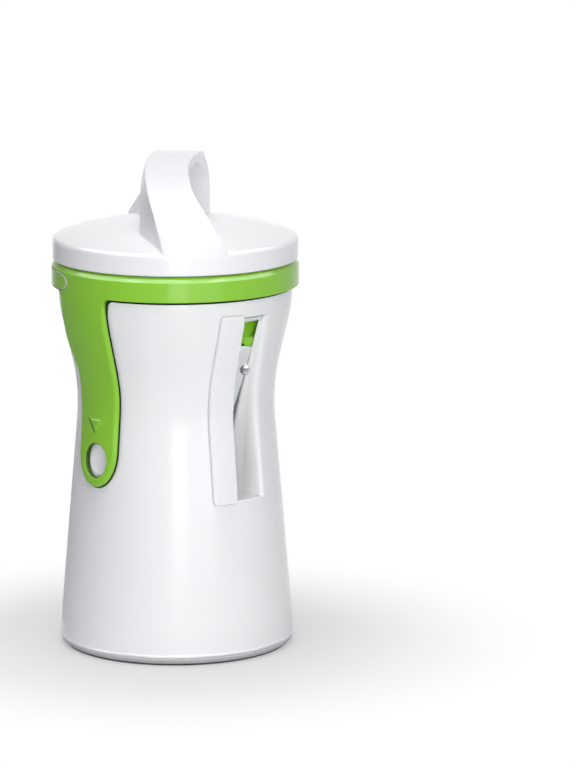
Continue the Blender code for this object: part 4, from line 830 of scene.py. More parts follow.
def plate_pocket(azimuths, heights, middle):
    """Round-ended pocket for a side plate, and the band's outside from there to a grid's edge.

    Each place on the grid's edge is brought to the middle line's nearest point, and stands off
    from there by the pocket's half height. The pocket's side and floor are dark with painted shade.
    """
    places, outer = patch_places(azimuths, heights)
    half = np.array(PLATE_HALF) + PLATE_GAP
    points = places * half
    straight = half[0] - half[1] * PLATE_STRETCH
    feet = np.stack([np.clip(points[:, 0], -straight, straight), np.zeros(len(points))], axis=1)
    stretch = np.array([PLATE_STRETCH, 1])
    out = unit((points - feet) / stretch) * stretch

    def on_band(flat, drop=0.0):
        """Azimuths, heights and radii of points laid on the band, sunk by a drop."""
        return np.stack([middle + flat[:, 0] / BAND_RADIUS, PLATE_HEIGHT + flat[:, 1],
                         np.full(len(flat), BAND_RADIUS - drop)], axis=1)

    rows = [on_band(feet + out * (half[1] + BAND_EDGE * (1 - a)), BAND_EDGE * b) for a, b in quarter(3)]
    rows += [on_band(feet + out * half[1], PLATE_DEPTH), on_band(feet, PLATE_DEPTH)]
    around = np.concatenate([outer, np.full((len(outer), 1), BAND_RADIUS)], axis=1)
    rows = np.concatenate([blend(around, rows[0], POCKET_SHARES), rows])
    # painted shade on the pocket's side and floor
    mark = np.array([0.0] * (len(rows) - 3) + [1.0] * 3)[:, None]
    return polar(rows[..., 2], rows[..., 0], rows[..., 1]), (), mark


def collar_rim(outline, edges, arcs):
    """Rounded edge along the band's lower side and down round both arms, with its dark lip.

    The arcs are the band's azimuths from arm to arm, at the front and at the back. The lip is
    painted shadow, and its reach goes from the band's to the arms' in proportion to the edge's
    radius.
    """
    def once_round(radius, lift):
        """Loop along both arcs at a radius, and along both arms' outlines at a lift."""
        front, back = (turned([(radius, BAND_LOW + BAND_EDGE)], arc)[0, :-1] for arc in arcs)
        return closed(np.concatenate([front, on_side(outline, lift, 1),
                                      back, on_side(outline, lift, -1)[::-1]]))

    top, under = once_round(BAND_RADIUS, SKIN_LIFT), once_round(NECK_BEND[0] + GAP, GAP)
    thin = np.full(BAND_POINTS - 1, BAND_EDGE)
    edge = closed(np.concatenate([thin, edges, thin, edges[::-1]]))
    keep = np.concatenate([[True], np.linalg.norm(np.diff(top, axis=0), axis=1) > MERGE])
    keep[-1] = True
    top, under, edge = top[keep], under[keep], edge[keep]
    share = (edge - BAND_EDGE) / (ARM_EDGE - BAND_EDGE)
    reach = SHADOW_LIP_REACH[0] + (SHADOW_LIP_REACH[1] - SHADOW_LIP_REACH[0]) * share
    sheet, mark = shadow_lip_rim(top, under, outward(top, unit(top - under)), edge, reach)
    return sheet, (), mark


def triangle_mark(side):
    """Low raised triangle on the arm, pointing down, as rings of its own shape about its middle.

    MARK_RINGS gives each ring's share of the triangle's size, of its rise, and of its painted
    shade, which darkens the flange along its back side.
    """
    middle, top, width, height = MARK
    corners = np.array([(middle - width / 2, top), (middle + width / 2, top), (middle, top - height)])
    sides = [np.linspace(corner, following, MARK_POINTS, endpoint=False)
             for corner, following in zip(corners, np.roll(corners, -1, 0))]
    loop = closed(np.concatenate(sides))
    place = np.arange(len(loop))
    # painted shade falls only along the back side
    behind = (place > MARK_POINTS) & (place <= 2 * MARK_POINTS - 1)
    centre = corners.mean(0)
    rings = [on_side(centre + (loop - centre) * size, SKIN_LIFT + MARK_RISE * rise, side)
             for size, rise, _ in MARK_RINGS]
    return np.stack(rings), (), np.stack([behind * shade * MARK_PAINTED_SHADE for *_, shade in MARK_RINGS])


def make_collar_frame(finish):
    """Turned collar whose outside runs down into two arms, each with a hole."""
    strip, end, hole, outline, edges = arm_flats()
    sheets = [sheet for side in (-1, 1) for sheet in arm_sheets(side, strip, end, hole)]

    reach = np.arcsin(strip[-1, :, 0] / BAND_RADIUS)
    right, left = math.pi / 2 + reach, 3 * math.pi / 2 - reach[::-1]
    back_arc = np.linspace(right[-1], left[0], BAND_POINTS)
    front_arc = np.linspace(left[-1], right[0] + math.tau, BAND_POINTS)
    azimuths = np.concatenate([right, back_arc[1:-1], left, front_arc[1:]])
    profile, rows = band_profile()
    pockets = []
    for side in (-1, 1):
        middle = side * PLATE_AZIMUTH % math.tau
        room = (PLATE_HALF[0] + PLATE_MARGIN) / BAND_RADIUS
        first, last = np.searchsorted(azimuths, [middle - room, middle + room])
        pockets.append(((0, len(rows) - 1), (first, last)))
        sheets.append(plate_pocket(azimuths[first:last + 1], rows, middle))
    sheets.append((turned(profile, azimuths), pockets, 0.0))
    sheets.append(collar_rim(outline, edges, (front_arc, back_arc)))
    sheets += [triangle_mark(side) for side in (-1, 1)]
    sheet_piece("collar", sheets, finish, "green_plastic", "body", "collar_frame")


def make_side_plate(side, name, finish):
    """Round-ended plate let into the collar's band, with a rounded edge and a painted highlight border.

    Each ring of points stands off from the plate's middle line by its own distance, which is
    stretched along the line, and lies at its own rise over the band.
    """
    half = np.array(PLATE_HALF)
    count, round_count = PLATE_POINTS
    line = np.linspace(1, -1, count) * (half[0] - half[1] * PLATE_STRETCH)
    turn = np.linspace(math.pi / 2, 3 * math.pi / 2, round_count)
    x = closed(np.concatenate([line, np.full(round_count, line[-1]),
                               line[::-1], np.full(round_count, line[0])]))
    angle = closed(np.concatenate([np.full(count, turn[0]), turn, np.full(count, turn[-1]),
                                   turn + math.pi]))
    border, depth = half[1] - PLATE_BORDER, PLATE_DEPTH - GAP
    steps = [(0.0, PLATE_PROUD), (border - PLATE_BORDER_STEP, PLATE_PROUD), (border, PLATE_PROUD)]
    steps += [(half[1] - PLATE_EDGE + PLATE_EDGE * a, PLATE_PROUD - PLATE_EDGE * b)
              for a, b in quarter()[1:]]
    steps += [(half[1], -depth), (0.0, -depth)]
    # painted highlight on the border, the edge's rounding and the side
    mark = np.array([0, 0] + [1] * (len(steps) - 3) + [0])[:, None]
    rings = [polar(BAND_RADIUS + rise,
                   side * PLATE_AZIMUTH + (x + distance * PLATE_STRETCH * np.cos(angle)) / BAND_RADIUS,
                   PLATE_HEIGHT + distance * np.sin(angle)) for distance, rise in steps]
    sheet_piece("plate_" + name, [(np.stack(rings), (), mark)], finish, "green_plastic", "body",
                "side_plate_" + name)


# Release buttons

def make_button(side, name, finish):
    """Oval button: each ring is an ellipse, and the face is the body's curve less a ball's dish.

    Wall and dish meet softly: the face is wall - b * log(1 + exp((wall - dish) / b)), with b the
    blend between them.
    """
    angle = np.linspace(0, math.tau, BUTTON_POINTS[0])
    circle = np.stack([np.cos(angle), np.sin(angle)], axis=1)
    ball = body_radius(HOLE_HEIGHT) + BUTTON_PROUD - BUTTON_DISH + BUTTON_DISH_RADIUS

    def oval(inset):
        """Ellipse that lies inside the button's outline by an inset."""
        return circle * (np.array(BUTTON_HALF) - inset)

    def face(flat):
        """X of the button's face at Y and height from its middle."""
        wall = on_side(flat + [0, HOLE_HEIGHT], BUTTON_PROUD)[:, 0]
        dish = ball - np.sqrt(BUTTON_DISH_RADIUS ** 2 - flat[:, 0] ** 2 - flat[:, 1] ** 2)
        return wall - BUTTON_DISH_BLEND * np.log1p(np.exp((wall - dish) / BUTTON_DISH_BLEND))

    def ring(x, flat):
        """Ring of points at one or more X, and at Y and height from the button's middle."""
        return np.column_stack([np.broadcast_to(x, len(flat)), flat + [0, HOLE_HEIGHT]])

    inner = oval(BUTTON_EDGE)
    shares = np.linspace(0, 1, BUTTON_POINTS[1])
    rings = [ring(face(inner * share), inner * share) for share in shares]
    rings += [ring(face(inner) - BUTTON_EDGE * down, oval(BUTTON_EDGE * (1 - out)))
              for out, down in quarter()[1:]]
    wide, thick = BUTTON_FLANGE
    flange = math.sqrt((body_radius(HOLE_HEIGHT) - WALL) ** 2 - BUTTON_FLANGE_END ** 2) - GAP
    steps = ((0, flange), (-wide, flange), (-wide, flange - thick), (BUTTON_SHOULDER, flange - thick))
    rings += [ring(x, oval(inset)) for inset, x in steps]
    low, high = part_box("release_button_" + name)
    end = min(abs(low.x), abs(high.x)) / MM
    stem = ((BUTTON_STEM, flange - thick), (BUTTON_STEM, end + BUTTON_STEM_EDGE),
            (BUTTON_STEM - BUTTON_STEM_EDGE, end), (0, end))
    rings += [ring(x, circle * radius) for radius, x in stem]
    sheet_piece("button_" + name, [np.stack(rings) * [side, 1, 1]], finish, "white_plastic",
                name + "_button", "release_button_" + name)


def make_spring(name, finish):
    """Coil of three turns: its place along X is s - c * sin(2 pi s) / (2 pi), with s the share.

    So its pitch is less by the share c at both ends, and greater by it in the middle.
    """
    low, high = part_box("button_spring_" + name)
    wire = SPRING_WIRE
    near, far = low.x / MM + wire, high.x / MM - wire
    share = np.linspace(0, 1, SPRING_POINTS)
    pitch = share - SPRING_CLOSING * np.sin(math.tau * share) / math.tau
    angle = math.tau * SPRING_TURNS * share
    path = np.stack([near + (far - near) * pitch, SPRING_RADIUS * np.cos(angle),
                     HOLE_HEIGHT + SPRING_RADIUS * np.sin(angle)], axis=1)
    spring = sheet_piece("spring_" + name, [tube(path, wire)], finish, "fastener_steel", "body",
                         "button_spring_" + name)
    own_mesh(spring)


# Cap and handle

def dome_height(radius, drop=0.0):
    """Cap's dome: it falls as a power of the radius."""
    return CAP_SEAT + CAP_SIDE + CAP_RISE * (1 - (np.asarray(radius) / CAP_RADIUS) ** CAP_POWER) - drop


def smooth_between(values, beyond, share):
    """Smooth curve through values at equal steps: a cubic between each pair, by its neighbours.

    Beyond is the value one step past the last, where the curve goes on.
    """
    values = np.concatenate([values[:1], values, [beyond]])
    place = np.clip(share, 0, 1) * (len(values) - 3)
    index = np.minimum(place.astype(int), len(values) - 4)
    before, start, end, after = (values[index + k] for k in range(4))
    t = place - index
    return 0.5 * (2 * start + (end - before) * t + (2 * before - 5 * start + 4 * end - after) * t ** 2
                  + (3 * start - before - 3 * end + after) * t ** 3)


def handle_half():
    """Front half of the twisted handle, as sections at angles over the arch from foot to top.

    The outer face bends with the cap's side: y = -c * sqrt(R^2 - (c * x)^2) with c the angle's
    cosine, and height is base + rise * sin(angle). The other sides are straight between the edges,
    and each corner is a curve of second degree.
    """
    angles = np.linspace(HANDLE_START, math.pi / 2, HANDLE_SECTIONS)
    share = np.clip(angles, 0, None) / (math.pi / 2)
    cosine, sine = np.cos(angles)[:, None], np.sin(angles)[:, None]
    left = smooth_between(OUTER_LEFT, -OUTER_RIGHT[-2], share)[:, None]
    right = smooth_between(OUTER_RIGHT, -OUTER_LEFT[-2], share)[:, None]
    radius = CAP_RADIUS - HANDLE_INSET
    x = left + (right - left) * np.linspace(0, 1, HANDLE_POINTS[0])
    outer = np.stack([x, -cosine * np.sqrt(radius ** 2 - (cosine * x) ** 2),
                      np.broadcast_to(HANDLE_BASE + HANDLE_RISE * sine, x.shape)], axis=-1)
    inner = [np.stack([smooth_between(edge, -partner[-2], share), -span * cosine[:, 0],
                       HANDLE_BASE + (HANDLE_RISE - HANDLE_THICKNESS) * sine[:, 0]], axis=-1)
             for edge, partner, span in ((INNER_RIGHT, INNER_LEFT, HANDLE_SPANS[1]),
                                         (INNER_LEFT, INNER_RIGHT, HANDLE_SPANS[0]))]
    corners = [outer[:, 0], outer[:, -1], *inner]
    following = [outer[:, 1], *inner, outer[:, 0]]
    leading = [inner[1], outer[:, -2], outer[:, -1], inner[0]]
    side_soft, face_soft = (HANDLE_EDGE + (most - HANDLE_EDGE) * share[:, None] ** 2
                            for most in HANDLE_SOFT_EDGE)
    reaches = [(HANDLE_EDGE, HANDLE_EDGE)] * 2 + [(side_soft, face_soft), (face_soft, side_soft)]
    t = np.linspace(0, 1, HANDLE_POINTS[1])[None, :, None]
    arcs = []
    for corner, ahead, back, (back_reach, ahead_reach) in zip(corners, following, leading, reaches):
        start = corner + unit(back - corner) * back_reach
        end = corner + unit(ahead - corner) * ahead_reach
        arcs.append(curve(start[:, None], corner[:, None], end[:, None], t))
    between = np.array(HANDLE_SHARES)[None, :, None]
    sides = [outer[:, 2:-2]] + [arcs[k][:, -1:] * (1 - between) + arcs[(k + 1) % 4][:, :1] * between
                                for k in (1, 2, 3)]
    parts = [part for pair in zip(arcs, sides) for part in pair]
    return np.concatenate([*parts, arcs[0][:, :1]], axis=1)


def handle_sheet():
    """Whole handle: the back half is the front half turned half round, and both ends are closed.

    The back half's rings start at the point that is nearest to the front half's start.
    """
    front = handle_half()
    back = (front * [-1, -1, 1])[:, :0:-1]
    start = np.argmin(np.linalg.norm(back[-1] - front[-1, 0], axis=1))
    back = np.roll(back, -start, axis=1)
    back = np.concatenate([back, back[:, :1]], axis=1)
    handle = np.concatenate([front, back[::-1][1:]])
    first, last = (np.broadcast_to(handle[end].mean(0), (1, *handle[end].shape)) for end in (0, -1))
    return placed(np.concatenate([first, handle, last]), Matrix.Rotation(VIEW_TURN, 4, "Z"))


def make_cap(finish):
    """Turned cap, hollow underneath with a rib and a screw boss, and the handle on it.

    The lower edge's rounding is marked from its foot up, for a painted shadow line over the ring.
    """
    top, bore, shoulder = CAP_SEAT + CAP_SIDE, CAP_RADIUS - CAP_WALL, CAP_RADIUS * CAP_BLEND
    start, end, count = CAP_SIDE_ROWS
    rows = [(CAP_RADIUS, height) for height in np.linspace(CAP_SEAT + start, top - end, count)]
    outside = bent([(bore, CAP_SEAT), (CAP_RADIUS, CAP_SEAT), *rows, (CAP_RADIUS, top),
                    (shoulder, dome_height(shoulder))], [0, CAP_EDGE, *[0] * count, CAP_SHOULDER, 0])
    radii = np.linspace(CAP_RADIUS * CAP_DOME_START, 0, CAP_POINTS[0])
    rib_outer = RING_RADIUS - GAP
    rib_inner = rib_outer - CAP_RIB
    rib_low = CAP_SEAT + RING_RISE + GAP
    roof = np.linspace(CAP_BOSS + CAP_ROOF_START, rib_inner - CAP_ROOF_START, CAP_POINTS[1])
    under = [(0, PRONG_PLATE_TOP + GAP), (CAP_BOSS, PRONG_PLATE_TOP + GAP),
             (CAP_BOSS, dome_height(CAP_BOSS, CAP_WALL)), *zip(roof, dome_height(roof, CAP_WALL)),
             (rib_inner, dome_height(rib_inner, CAP_WALL)), (rib_inner, rib_low), (rib_outer, rib_low),
             (rib_outer, top - CAP_WALL), (bore, top - CAP_WALL), (bore, CAP_SEAT)]
    profile = np.concatenate([under, outside[:-1], np.stack([radii, dome_height(radii)], axis=1)])
    # painted shadow along the cap's lower rounding, over the ring
    rise = np.clip((profile[:, 1] - CAP_SEAT) / CAP_EDGE, 0, 1)
    painted_seam_shadow = np.where(profile[:, 0] > CAP_RADIUS - CAP_EDGE - TINY, 1 - rise, 0)
    sheets = [(turned(profile), (), painted_seam_shadow[:, None]), handle_sheet()]
    sheet_piece("cap_moulding", sheets, finish, "white_plastic", "turning_cap", "cap")


def make_guide_ring(finish):
    """Turned ring that runs in the collar's mouth, with a lip inwards at its top."""
    low, top = CAP_SEAT - RING_DROP, CAP_SEAT + RING_RISE
    bore = RING_RADIUS - RING_WALL
    lip, thick = RING_LIP
    profile = bent([(bore, low), (RING_RADIUS, low), (RING_RADIUS, top), (bore - lip, top),
                    (bore - lip, top - thick), (bore, top - thick), (bore, low)],
                   [0, RING_LOW_EDGE, SOFT, CRISP, CRISP, CRISP, 0])
    sheet_piece("cap_ring", [turned(profile)], finish, "white_plastic", "cap_guide", "guide_ring")


def make_prongs(plate_finish, pin_finish):
    """Turned plate with six turned sockets, and a pointed pin in each."""
    radius = RING_RADIUS - RING_WALL - GAP
    low = PRONG_PLATE_TOP - PRONG_PLATE_THICKNESS
    outline = bent([(0, low), (radius, low), (radius, PRONG_PLATE_TOP), (0, PRONG_PLATE_TOP)],
                   [0, SOFT, SOFT, 0])
    sheets = [turned(outline)]
    boss_radius, drop, reach = PRONG_BOSS
    socket, tip, root = PRONG_RADIUS + PRONG_PLAY, low - PRONG_LENGTH, low + PRONG_ROOT
    boss = bent([(socket, low), (socket, low - drop), (boss_radius, low - drop),
                 (boss_radius, low + reach), (socket, low + reach), (socket, low)],
                [0, CRISP, PRONG_BOSS_EDGE, 0, 0, 0])
    pin = bent([(0, tip), (PRONG_RADIUS, tip + PRONG_TIP), (PRONG_RADIUS, root), (0, root)],
               [0, PRONG_TIP_BEND, CRISP, 0])
    for number in range(1, PRONG_COUNT + 1):
        angle = math.tau * (number - 1) / PRONG_COUNT
        place = Matrix.Translation((PRONG_CIRCLE * math.sin(angle), PRONG_CIRCLE * math.cos(angle), 0))
        sheets.append(placed(turned(boss, FINE_AROUND), place))
        sheet_piece(f"pin_{number}", [placed(turned(pin, FINE_AROUND), place)], pin_finish,
                    "blade_steel", "turning_cap", f"prong_{number}")
    sheet_piece("pin_plate", sheets, plate_finish, "white_plastic", "turning_cap", "prong_plate")


def make_foot_ring(finish):
    """Turned rubber ring that sits in the shell's groove and stands on the table."""
    _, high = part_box("foot_ring")
    outer, top = high.x / MM, high.z / MM
    inner = outer - FOOT_RING_WIDTH
    profile = bent([(inner, top), (inner, 0), (outer, 0), (outer, top), (inner, top)],
                   [0, FOOT_RING_EDGE, FOOT_RING_EDGE, CRISP, 0])
    sheet_piece("foot_rubber", [turned(profile)], finish, "dark_rubber", "body", "foot_ring")


# Finishes

GLOSS = (0.14, 0.2)                             # roughness at the clearest and the haziest place
MATT = (0.7, 0.9)
WHITE = ((0.84, 0.84, 0.85), (0.86, 0.86, 0.867))
# painted shade on white: the foot's rounding and the line under the cap's edge
WHITE_PAINTED_SHADE = (0.5, 0.5, 0.51)
GREEN = ((0.23, 0.54, 0.03), (0.27, 0.60, 0.036))
# painted shade on green: lip under the collar, plate pockets, holes' feet, triangle's back
GREEN_PAINTED_SHADE = (0.006, 0.018, 0.002)
# painted highlight on the side plates' border
GREEN_PAINTED_HIGHLIGHT = (0.55, 0.58, 0.5)
GREEN_SHINE = 0.4
RUBBER = ((0.04, 0.04, 0.045), (0.06, 0.06, 0.065))
BLADE_GLOSS, SCREW_GLOSS = (0.2, 0.34), (0.22, 0.32)
BLADE_STREAKS, SCREW_STREAKS = 1.0, 0.6
BLADE = ((0.56, 0.57, 0.59), (0.68, 0.69, 0.71))
SCREW = ((0.48, 0.49, 0.51), (0.55, 0.56, 0.58))
NOISE_RANGE = (0.3, 0.7)                        # in which most of a noise's values lie
WAVE_SIZE, GRAIN_SIZE, HAZE_SIZE = 60.0, 2600.0, 210.0      # patterns' repeats in a metre
GRAIN_SHARE = 0.04                              # of the grain's height in the relief
STREAK_STRETCH = (2200, 2200, 60)               # repeats in a metre across and along the streaks
PLASTIC_RELIEF = (0.2, 0.01)                    # strength, and depth in millimetres
STEEL_RELIEF = (0.3, 0.02)


def node(tree, kind, **settings):
    """Shader node with its settings; a setting that names an input sets that input's value."""
    made = tree.nodes.new("ShaderNode" + kind)
    for key, value in settings.items():
        if hasattr(made, key):
            setattr(made, key, value)
        else:
            made.inputs[key.replace("_", " ").title()].default_value = value
    return made


def surface_group(name, outputs, inputs):
    """Empty node group with named number sockets; returns it with its input and output nodes."""
    group = bpy.data.node_groups.new(name, "ShaderNodeTree")
    for label, value in inputs.items():
        socket = group.interface.new_socket(label, in_out="INPUT", socket_type="NodeSocketFloat")
        socket.default_value = value
    for label in outputs:
        group.interface.new_socket(label, in_out="OUTPUT", socket_type="NodeSocketFloat")
    return group, group.nodes.new("NodeGroupInput"), group.nodes.new("NodeGroupOutput")


def moulded_group():
    """Moulded plastic: broad sink waves, a fine die texture, and handling haze, all by place."""
    group, given, result = surface_group("moulded plastic", ["Shade", "Haze", "Height"],
                                         {"Wave size": WAVE_SIZE, "Grain size": GRAIN_SIZE})
    links = group.links
    place = node(group, "TexCoord")
    wave = node(group, "TexNoise", detail=2.0)
    grain = node(group, "TexNoise", detail=3.0)
    haze = node(group, "TexNoise", detail=4.0, scale=HAZE_SIZE)
    for texture in (wave, grain, haze):
        links.new(place.outputs["Object"], texture.inputs["Vector"])
    links.new(given.outputs["Wave size"], wave.inputs["Scale"])
    links.new(given.outputs["Grain size"], grain.inputs["Scale"])
    fine = node(group, "Math", operation="MULTIPLY_ADD")
    fine.inputs[1].default_value = GRAIN_SHARE
    links.new(grain.outputs["Fac"], fine.inputs[0])
    links.new(wave.outputs["Fac"], fine.inputs[2])
    links.new(wave.outputs["Fac"], result.inputs["Shade"])
    links.new(haze.outputs["Fac"], result.inputs["Haze"])
    links.new(fine.outputs[0], result.inputs["Height"])
    return group


def steel_group():
    """Brushed steel: streaks along one axis, by noise that is stretched along it."""
    group, given, result = surface_group("brushed steel", ["Streak", "Height"],
                                         {"Streak size": BLADE_STREAKS})
    links = group.links
    place = node(group, "TexCoord")
    stretch = node(group, "Mapping", scale=STREAK_STRETCH)
    streak = node(group, "TexNoise", detail=3.0)
    links.new(place.outputs["Object"], stretch.inputs["Vector"])
    links.new(stretch.outputs["Vector"], streak.inputs["Vector"])
    links.new(given.outputs["Streak size"], streak.inputs["Scale"])
    links.new(streak.outputs["Fac"], result.inputs["Streak"])
    links.new(streak.outputs["Fac"], result.inputs["Height"])
    return group


def new_material(name):
    """Material with a Principled shader; returns it with its node tree and that shader."""
    finish = bpy.data.materials.new(name)
    finish.use_nodes = True
    return finish, finish.node_tree, finish.node_tree.nodes["Principled BSDF"]


def pattern_of(tree, group):
    """Surface group placed in a material."""
    pattern = tree.nodes.new("ShaderNodeGroup")
    pattern.node_tree = group
    return pattern


def tint(tree, mask, low, high):
    """Colour that runs from low to high with a mask; low may be another node's colour."""
    mix = node(tree, "Mix", data_type="RGBA")
    if isinstance(low, tuple):
        mix.inputs[6].default_value = (*low, 1)
    else:
        tree.links.new(low, mix.inputs[6])
    mix.inputs[7].default_value = (*high, 1)
    tree.links.new(mask, mix.inputs["Factor"])
    return mix.outputs[2]


def ranged(tree, mask, low, high):
    """Value that runs from low to high as a mask goes through most of a noise's range."""
    scale = node(tree, "MapRange", from_min=NOISE_RANGE[0], from_max=NOISE_RANGE[1], to_min=low,
                 to_max=high)
    tree.links.new(mask, scale.inputs["Value"])
    return scale.outputs["Result"]


def bump(tree, height, strength, depth):
    """Normal of a height's relief, as a bump of a strength and a depth in millimetres."""
    relief = node(tree, "Bump", strength=strength, distance=depth * MM)
    tree.links.new(height, relief.inputs["Height"])
    return relief.outputs["Normal"]


def dressed(tree, shader, colour, rough, normal):
    """Shader with its colour, roughness and normal linked."""
    for source, label in ((colour, "Base Color"), (rough, "Roughness"), (normal, "Normal")):
        tree.links.new(source, shader.inputs[label])


def plastic(name, group, low, high, gloss, shine=0.5, marked=None):
    """Gloss plastic of one colour; where the mesh is marked it is matt, in a colour of painted light.
    """
    finish, tree, shader = new_material(name)
    pattern = pattern_of(tree, group)
    shader.inputs["Specular IOR Level"].default_value = shine
    colour = tint(tree, pattern.outputs["Shade"], low, high)
    rough = ranged(tree, pattern.outputs["Haze"], *gloss)
    # the mark carries painted shade, and on the side plates a painted highlight
    if marked:
        mark = node(tree, "Attribute", attribute_name="mark").outputs["Fac"]
        colour = tint(tree, mark, colour, marked)
        dull = node(tree, "Math", operation="MAXIMUM")
        tree.links.new(mark, dull.inputs[0])
        tree.links.new(rough, dull.inputs[1])
        rough = dull.outputs[0]
    dressed(tree, shader, colour, rough, bump(tree, pattern.outputs["Height"], *PLASTIC_RELIEF))
    return finish


def steel(name, group, low, high, gloss, streak_size):
    """Brushed steel whose colour and roughness run with the streaks."""
    finish, tree, shader = new_material(name)
    pattern = pattern_of(tree, group)
    shader.inputs["Metallic"].default_value = 1.0
    pattern.inputs["Streak size"].default_value = streak_size
    streak = pattern.outputs["Streak"]
    dressed(tree, shader, tint(tree, streak, low, high), ranged(tree, streak, *gloss),
            bump(tree, pattern.outputs["Height"], *STEEL_RELIEF))
    return finish


# Stage, in metres and degrees

MIDDLE = Vector((0, 0, 0.09))                   # of the object, which the lamps face
# Name, azimuth, elevation, distance, size and power of each lamp, and what isn't lit by it
LAMPS = (("key softbox", -39, 16, 1.0, (0.335, 1.0), 3.2, None),
         ("right softbox", -14, 16, 1.0, (0.555, 1.0), 2.2, None),
         ("front fill", -43, 7, 1.0, (0.8, 0.3), 1.8, "visible_glossy"),
         ("top light", -60, 78, 0.9, (0.5, 0.5), 3.8, None),
         ("back fill", 137, 20, 1.0, (1.2, 0.8), 4.5, "visible_glossy"),
         ("overhead sheen", -43, 58, 1.2, (1.6, 0.8), 20.0, "visible_diffuse"),
         ("left sheen", -123, 48, 1.2, (1.4, 0.5), 12.0, "visible_diffuse"),
         ("right sheen", 37, 48, 1.2, (1.4, 0.5), 12.0, "visible_diffuse"))
AMBIENT = (0.88, 0.87, 1.0)
AMBIENT_STRENGTH = 0.22
FLOOR_RINGS = (0, 0.1, 0.3, 0.6)
FLOOR_POINTS = 97
FLOOR_GREY = 0.62
FLOOR_ROUGHNESS = 0.6
FLOOR_SHINE = 0.1
FLOOR_FADE = (0.03, 0.14)                       # distances over which the paper fades to white
FLOOR_WHITE = 0.35                              # share of white under the object
FLAG_TURN = 30                                  # about the object's axis
FLAG_PROFILE = ((0.06, 0.001), (0.3, 0.001), (0.5, 0.001), (0.5, 0.2), (0.5, 0.35))
FLAG_HALF_WIDTH = 0.8
FLAG_POINTS = 9
FLAG_FADE = (0.8, 0.2)                          # X from and to which the cloth gets dense
FLAG_GREY = 0.5
FLAG_ROUGHNESS = 0.9
VIEW_DOWN = math.radians(10.87)
SEEN_ORIGIN = (-0.04052, -0.09297, 1.64686)     # object's origin from the camera: right, up, away
FOCAL_PIXELS = 4500
PICTURE_PIXELS = 768                            # of its longer side
SENSOR = 36.0                                   # width in millimetres
VIEW_END = 20.0


def seen_ray(tree):
    """Mask of the rays that see the white background: camera, glossy and transmission rays."""
    rays = node(tree, "LightPath")
    first, second = (node(tree, "Math", operation="MAXIMUM") for _ in range(2))
    tree.links.new(rays.outputs["Is Camera Ray"], first.inputs[0])
    tree.links.new(rays.outputs["Is Glossy Ray"], first.inputs[1])
    tree.links.new(first.outputs[0], second.inputs[0])
    tree.links.new(rays.outputs["Is Transmission Ray"], second.inputs[1])
    return second.outputs[0]


def mixed(tree, share, first, second):
    """Mix of two shaders by a share of the second."""
    mix = node(tree, "MixShader")
    for source, socket in zip((share, first, second), mix.inputs):
        tree.links.new(source, socket)
    return mix.outputs[0]


def stage_piece(name, sheet, material, order):
    """Sheet of the stage, in metres, its faces turned up or down by the order of its rows."""
    mesh = bpy.data.meshes.new(name)
    mesh.from_pydata(sheet[::order].reshape(-1, 3), [], cells(sheet))
    mesh.materials.append(material)
    thing = bpy.data.objects.new(name, mesh)
    bpy.context.scene.collection.objects.link(thing)
    return thing


def make_floor():
    """Round pale floor that fades to white away from the object, so that only shadows show on it.

    Its points are rings of x = radius * cos(angle) and y = radius * sin(angle). From below it is
    clear.
    """
    angle = np.linspace(0, math.tau, FLOOR_POINTS)
    radius = np.array(FLOOR_RINGS)[:, None]
    sheet = np.stack(np.broadcast_arrays(radius * np.cos(angle), radius * np.sin(angle), 0.0), axis=-1)
    paper, tree, shader = new_material("floor paper")
    shader.inputs["Base Color"].default_value = (FLOOR_GREY, FLOOR_GREY, FLOOR_GREY, 1)
    shader.inputs["Roughness"].default_value = FLOOR_ROUGHNESS
    shader.inputs["Specular IOR Level"].default_value = FLOOR_SHINE
    away = node(tree, "VectorMath", operation="LENGTH")
    fade = node(tree, "MapRange", interpolation_type="SMOOTHSTEP", from_min=FLOOR_FADE[0],
                from_max=FLOOR_FADE[1], to_min=FLOOR_WHITE)
    seen = node(tree, "Math", operation="MULTIPLY")
    tree.links.new(node(tree, "TexCoord").outputs["Object"], away.inputs[0])
    tree.links.new(away.outputs["Value"], fade.inputs["Value"])
    tree.links.new(fade.outputs["Result"], seen.inputs[0])
    tree.links.new(seen_ray(tree), seen.inputs[1])
    faded = mixed(tree, seen.outputs[0], shader.outputs[0], node(tree, "Emission").outputs[0])
    from_below = node(tree, "NewGeometry").outputs["Backfacing"]
    surface = mixed(tree, from_below, faded, node(tree, "BsdfTransparent").outputs[0])
    tree.links.new(surface, tree.nodes["Material Output"].inputs["Surface"])
    stage_piece("floor", sheet, paper, -1)


def make_flag():
    """Grey card at the left of the object, that only reflections see.

    It lies on the floor, turns up half a metre away, and fades away from the camera.
    """
    reach = np.array(FLAG_PROFILE)
    width = np.linspace(-FLAG_HALF_WIDTH, FLAG_HALF_WIDTH, FLAG_POINTS)
    sheet = np.stack(np.broadcast_arrays(width, reach[:, :1], reach[:, 1:]), axis=-1)
    cloth, tree, shader = new_material("flag cloth")
    shader.inputs["Base Color"].default_value = (FLAG_GREY, FLAG_GREY, FLAG_GREY, 1)
    shader.inputs["Roughness"].default_value = FLAG_ROUGHNESS
    parts = node(tree, "SeparateXYZ")
    fade = node(tree, "MapRange", interpolation_type="SMOOTHSTEP", from_min=FLAG_FADE[0],
                from_max=FLAG_FADE[1])
    tree.links.new(node(tree, "TexCoord").outputs["Object"], parts.inputs[0])
    tree.links.new(parts.outputs["X"], fade.inputs["Value"])
    tree.links.new(fade.outputs["Result"], shader.inputs["Alpha"])
    card = stage_piece("flag", sheet, cloth, 1)
    card.matrix_world = Matrix.Rotation(math.radians(FLAG_TURN), 4, "Z")
    card.visible_camera = False
    card.visible_diffuse = False
    card.visible_shadow = False


